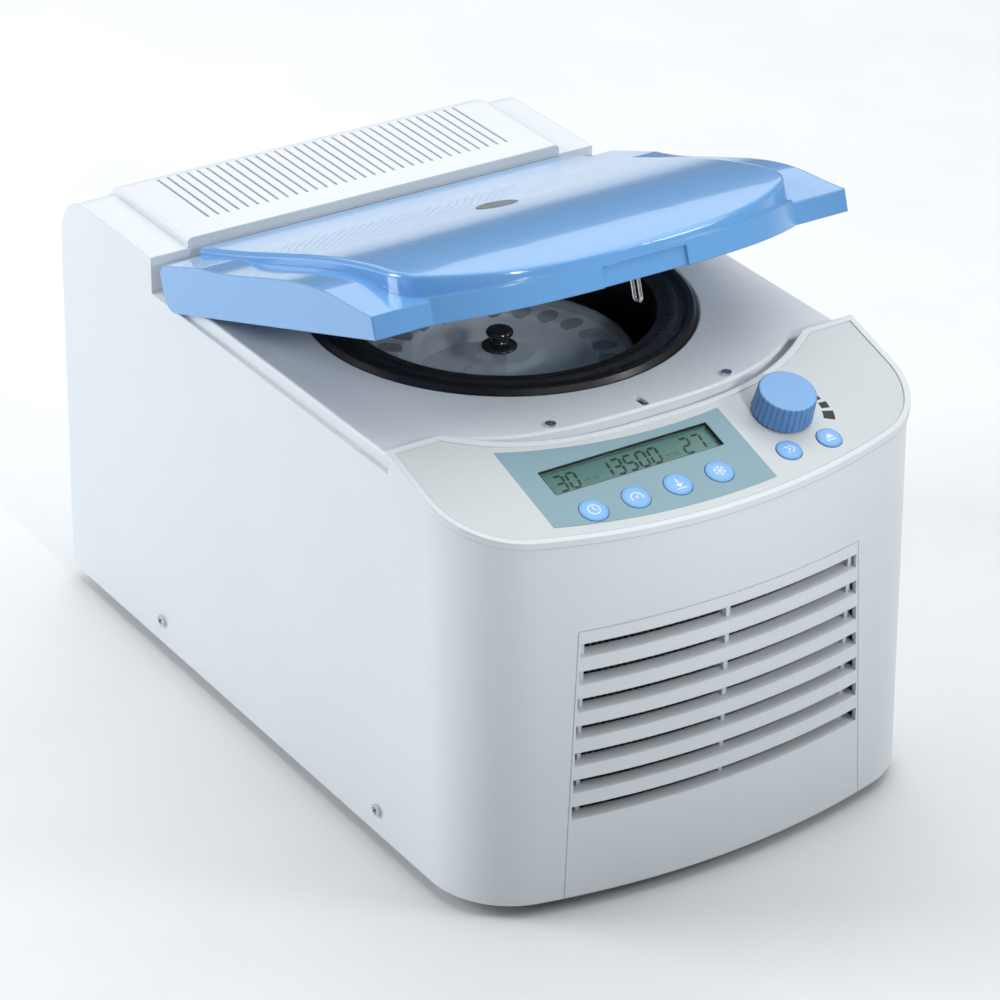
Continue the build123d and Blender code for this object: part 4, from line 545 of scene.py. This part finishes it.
def fluted_dial(centre):
    """A drum with shallow rounded flutes that run out at its bevelled top edge."""
    steps = DIAL_FLUTES * FLUTE_STEPS
    points = []
    for radius, height, share in DIAL_ROWS:
        for step in range(steps):
            turn = 2 * math.pi * step / steps
            wave = abs(math.sin(DIAL_FLUTES * turn / 2))
            reach = radius - FLUTE_DEPTH * share * (1 - wave) ** FLUTE_SHARPNESS
            points.append(centre + (
                ACROSS * math.cos(turn) * reach + DOWN * math.sin(turn) * reach + NORMAL * height
            ) * MM)
    faces = []
    for row in range(len(DIAL_ROWS) - 1):
        below, above = row * steps, (row + 1) * steps
        for step in range(steps):
            ahead = (step + 1) % steps
            faces.append((below + step, below + ahead, above + ahead, above + step))
    faces.append(tuple(range(steps)))
    faces.append(tuple((len(DIAL_ROWS) - 1) * steps + step for step in range(steps)))
    return new_mesh("dial", points, faces)


dial_crest = crest("control_dial")
dial_foot = dial_crest - NORMAL * DIAL_ROWS[-1][1] * MM
mesh = fluted_dial(dial_foot)
looks = (LOOKS["dial_blue"], DIAL_TOP_PAINTED_LIGHT)
dial = finish_piece("dial_knob", mesh, "dial_cap", "dial_blue", *looks, angle=50)
# Faces above the face row take the lighter copy: painted light on the top face.
for face in mesh.polygons:
    if (face.center - dial_foot).dot(NORMAL) > DIAL_ROWS[DIAL_FACE_ROW][1] * MM:
        face.material_index = 1
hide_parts("control_dial")

membrane_top = max(vertex.co.dot(NORMAL) for vertex in nodes["panel_membrane"].data.vertices)
dial_seat = dial_crest + NORMAL * (membrane_top - dial_crest.dot(NORMAL))
SCALE_R = 25.6
SCALE_BLOCKS = ((2.4, -8, -3), (4.8, 2, 12), (6.2, 17, 31))  # width, then start and end in degrees
scale_marks = Ink()
for width, begin, stop in SCALE_BLOCKS:
    scale_marks.arc((0, 0), SCALE_R, width, begin, stop, 6)
mesh = scale_marks.mesh("dial_scale", on_panel(dial_seat), 0.0, 0.05)
finish_piece("dial_scale", mesh, "housing", "membrane_grey", BLACK_INK, smooth=False)

# ---------------------------------------------------------------- dark cups in the tube holes, painted shade
WELL_R = 5.5
WELL_WALL = 0.15
WELL_DEPTH = 14.2  # along a hole's axis, from a point 4 mm above the rotor's top
WELL_INSET = 0.25
WELL_STEPS = 40
AXIS_START = (56.0, 4.0)  # radius, and height above the rotor's top
CONE_EDGE_R = 55.0
CONE_SLOPE = 12 / 9
LEAN = math.sqrt(0.5)


def mouth_depth(rise):
    """How far along its axis a hole's wall starts, at a point that lies rise above the axis."""
    start_r, start_z = AXIS_START
    start_r += LEAN * rise
    start_z += LEAN * rise
    at_flat = start_z / LEAN
    at_cone = (start_z + CONE_SLOPE * (CONE_EDGE_R - start_r)) / (LEAN * (1 + CONE_SLOPE))
    return max(at_flat, at_cone) + WELL_INSET


def tube_wells(centre, count):
    """Thin cups that line the leaning holes, their rims following the rotor's surface; coloured near black below,
    as painted shade in the holes.
    """
    points, faces = [], []
    inner_r = WELL_R - WELL_WALL
    for tube in range(count):
        turn = 2 * math.pi * tube / count
        out = Vector((math.cos(turn), math.sin(turn), 0))
        along = (out - UP) * LEAN
        raised = (out + UP) * LEAN
        tangent = out.cross(UP)
        start = centre + (out * AXIS_START[0] + UP * AXIS_START[1]) * MM
        rings = []
        # outside from the rim to the bottom, then inside from the bottom to the rim
        for radius, bottom in (
            (WELL_R, None), (WELL_R, WELL_DEPTH), (inner_r, WELL_DEPTH - WELL_WALL), (inner_r, None)
        ):
            rings.append(range(len(points), len(points) + WELL_STEPS))
            for step in range(WELL_STEPS):
                angle = 2 * math.pi * step / WELL_STEPS
                rise = math.sin(angle) * radius
                depth = bottom or mouth_depth(rise)
                points.append(start + (
                    along * depth + raised * rise + tangent * math.cos(angle) * radius
                ) * MM)
        outer_rim, outer_bottom, inner_bottom, inner_rim = rings
        for low_ring, high_ring in (
            (outer_rim, outer_bottom), (inner_bottom, inner_rim), (inner_rim, outer_rim)
        ):
            for step in range(WELL_STEPS):
                ahead = (step + 1) % WELL_STEPS
                faces.append((low_ring[step], low_ring[ahead], high_ring[ahead], high_ring[step]))
        faces += [tuple(outer_bottom), tuple(inner_bottom)]
    return new_mesh("tube_wells", points, faces)


rotor_low, rotor_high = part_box("rotor")
rotor_crown = (rotor_low + rotor_high) / 2
rotor_crown.z = rotor_high.z
openings = frame["record"]["physics"]["openings"]
tube_count = sum(entry["name"].startswith("tube_hole") for entry in openings)
mesh = tube_wells(rotor_crown, tube_count)
# The cups get the near-black enamel: painted shade inside the tube holes.
finish_piece("tube_wells", mesh, "spindle", "rotor_alloy", PAINTED_HOLE_SHADE)

# ---------------------------------------------------------------- rotor knob
knob_low, knob_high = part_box("rotor_knob")
knob_foot = (knob_low + knob_high) / 2
knob_foot.z = knob_low.z
KNOB_OUTLINE = [  # radius, height
    (0, 11.2), (1.9, 11.2), (2.3, 11.6), (4.6, 11.5), (7.0, 10.6), (7.7, 8.9), (7.1, 7.4), (4.9, 6.5),
    (4.4, 4.9), (4.9, 3.4), (8.2, 2.5), (9.8, 1.5), (9.8, 0.4), (9.3, 0.0), (0, 0.0),
]
mesh = lathe("rotor_knob_round", knob_foot, UP, rounded(KNOB_OUTLINE, 1.3, 5), 72)
knob = finish_piece("rotor_knob_round", mesh, "spindle", "knob_black", LOOKS["knob_black"])
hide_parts("rotor_knob")

# ---------------------------------------------------------------- floor, light and camera
floor_mesh = bpy.data.meshes.new("floor")
build = bmesh.new()
bmesh.ops.create_grid(build, x_segments=1, y_segments=1, size=6)
build.to_mesh(floor_mesh)
floor = bpy.data.objects.new("floor", floor_mesh)
scene.collection.objects.link(floor)
floor.data.materials.append(plastic("floor_paper", (0.88, 0.90, 0.91), 0.8, 400, 0.00002))


def hang_light(name, lamp, place, target):
    """Puts a light at one place, aimed at another."""
    obj = bpy.data.objects.new(name, lamp)
    obj.location = place
    obj.rotation_mode = "QUATERNION"
    obj.rotation_quaternion = (Vector(target) - Vector(place)).to_track_quat("-Z", "Y")
    scene.collection.objects.link(obj)


AREA_LIGHTS = [  # name, place, size, power, colour
    ("left_light", (-2.1, 1.6, 1.1), (1.4, 1.4), 50, (0.98, 0.98, 1.0)),
    ("front_light", (1.9, -1.9, 1.8), (0.8, 0.8), 18, (1, 1, 1)),
    ("top_light", (0.5, 0.2, 2.4), (3.2, 2.6), 48, (1, 1, 1)),
    ("back_light", (1.3, 2.2, 1.55), (3.4, 1.6), 16, (0.95, 0.98, 1.0)),
]
centre = (cad_low + cad_high) / 2
for name, place, (width, height), power, colour in AREA_LIGHTS:
    lamp = bpy.data.lights.new(name, "AREA")
    lamp.shape = "RECTANGLE"
    lamp.size = width
    lamp.size_y = height
    lamp.energy = power
    lamp.color = colour
    hang_light(name, lamp, place, centre)

spot = bpy.data.lights.new("chamber_light", "SPOT")
spot.energy = 80
spot.spot_size = math.radians(13)
spot.spot_blend = 1.0
spot.shadow_soft_size = 0.12
spot_aim = rotor_crown + Vector((0.01, -0.02, 0.02))
hang_light("chamber_light", spot, (-0.15, -2.1, 1.25), spot_aim)

world = bpy.data.worlds.new("studio")
world.use_nodes = True
background = world.node_tree.nodes["Background"]
background.inputs["Color"].default_value = (0.95, 0.97, 1.0, 1)
background.inputs["Strength"].default_value = 0.17
scene.world = world
scene.view_settings.view_transform = "Standard"

CAMERA_PLACE = Vector((-1.0831, -1.6119, 1.1840))
AZIMUTH, ELEVATION, ROLL = (math.radians(angle) for angle in (-34.011, 28.849, 1.156))
back = Vector((
    math.cos(ELEVATION) * math.sin(AZIMUTH),
    -math.cos(ELEVATION) * math.cos(AZIMUTH),
    math.sin(ELEVATION),
))
level = Vector((math.cos(AZIMUTH), math.sin(AZIMUTH), 0))
upward = back.cross(level)
right = math.cos(ROLL) * level + math.sin(ROLL) * upward
top = math.cos(ROLL) * upward - math.sin(ROLL) * level
camera = bpy.data.objects.new("camera", bpy.data.cameras.new("camera"))
camera.data.sensor_width = 36
camera.data.lens = 144.36
camera.data.clip_start = 0.1
camera.data.clip_end = 30
turned = Matrix((right, top, back)).transposed().to_4x4()
camera.matrix_world = Matrix.Translation(CAMERA_PLACE) @ turned
scene.collection.objects.link(camera)
scene.camera = camera
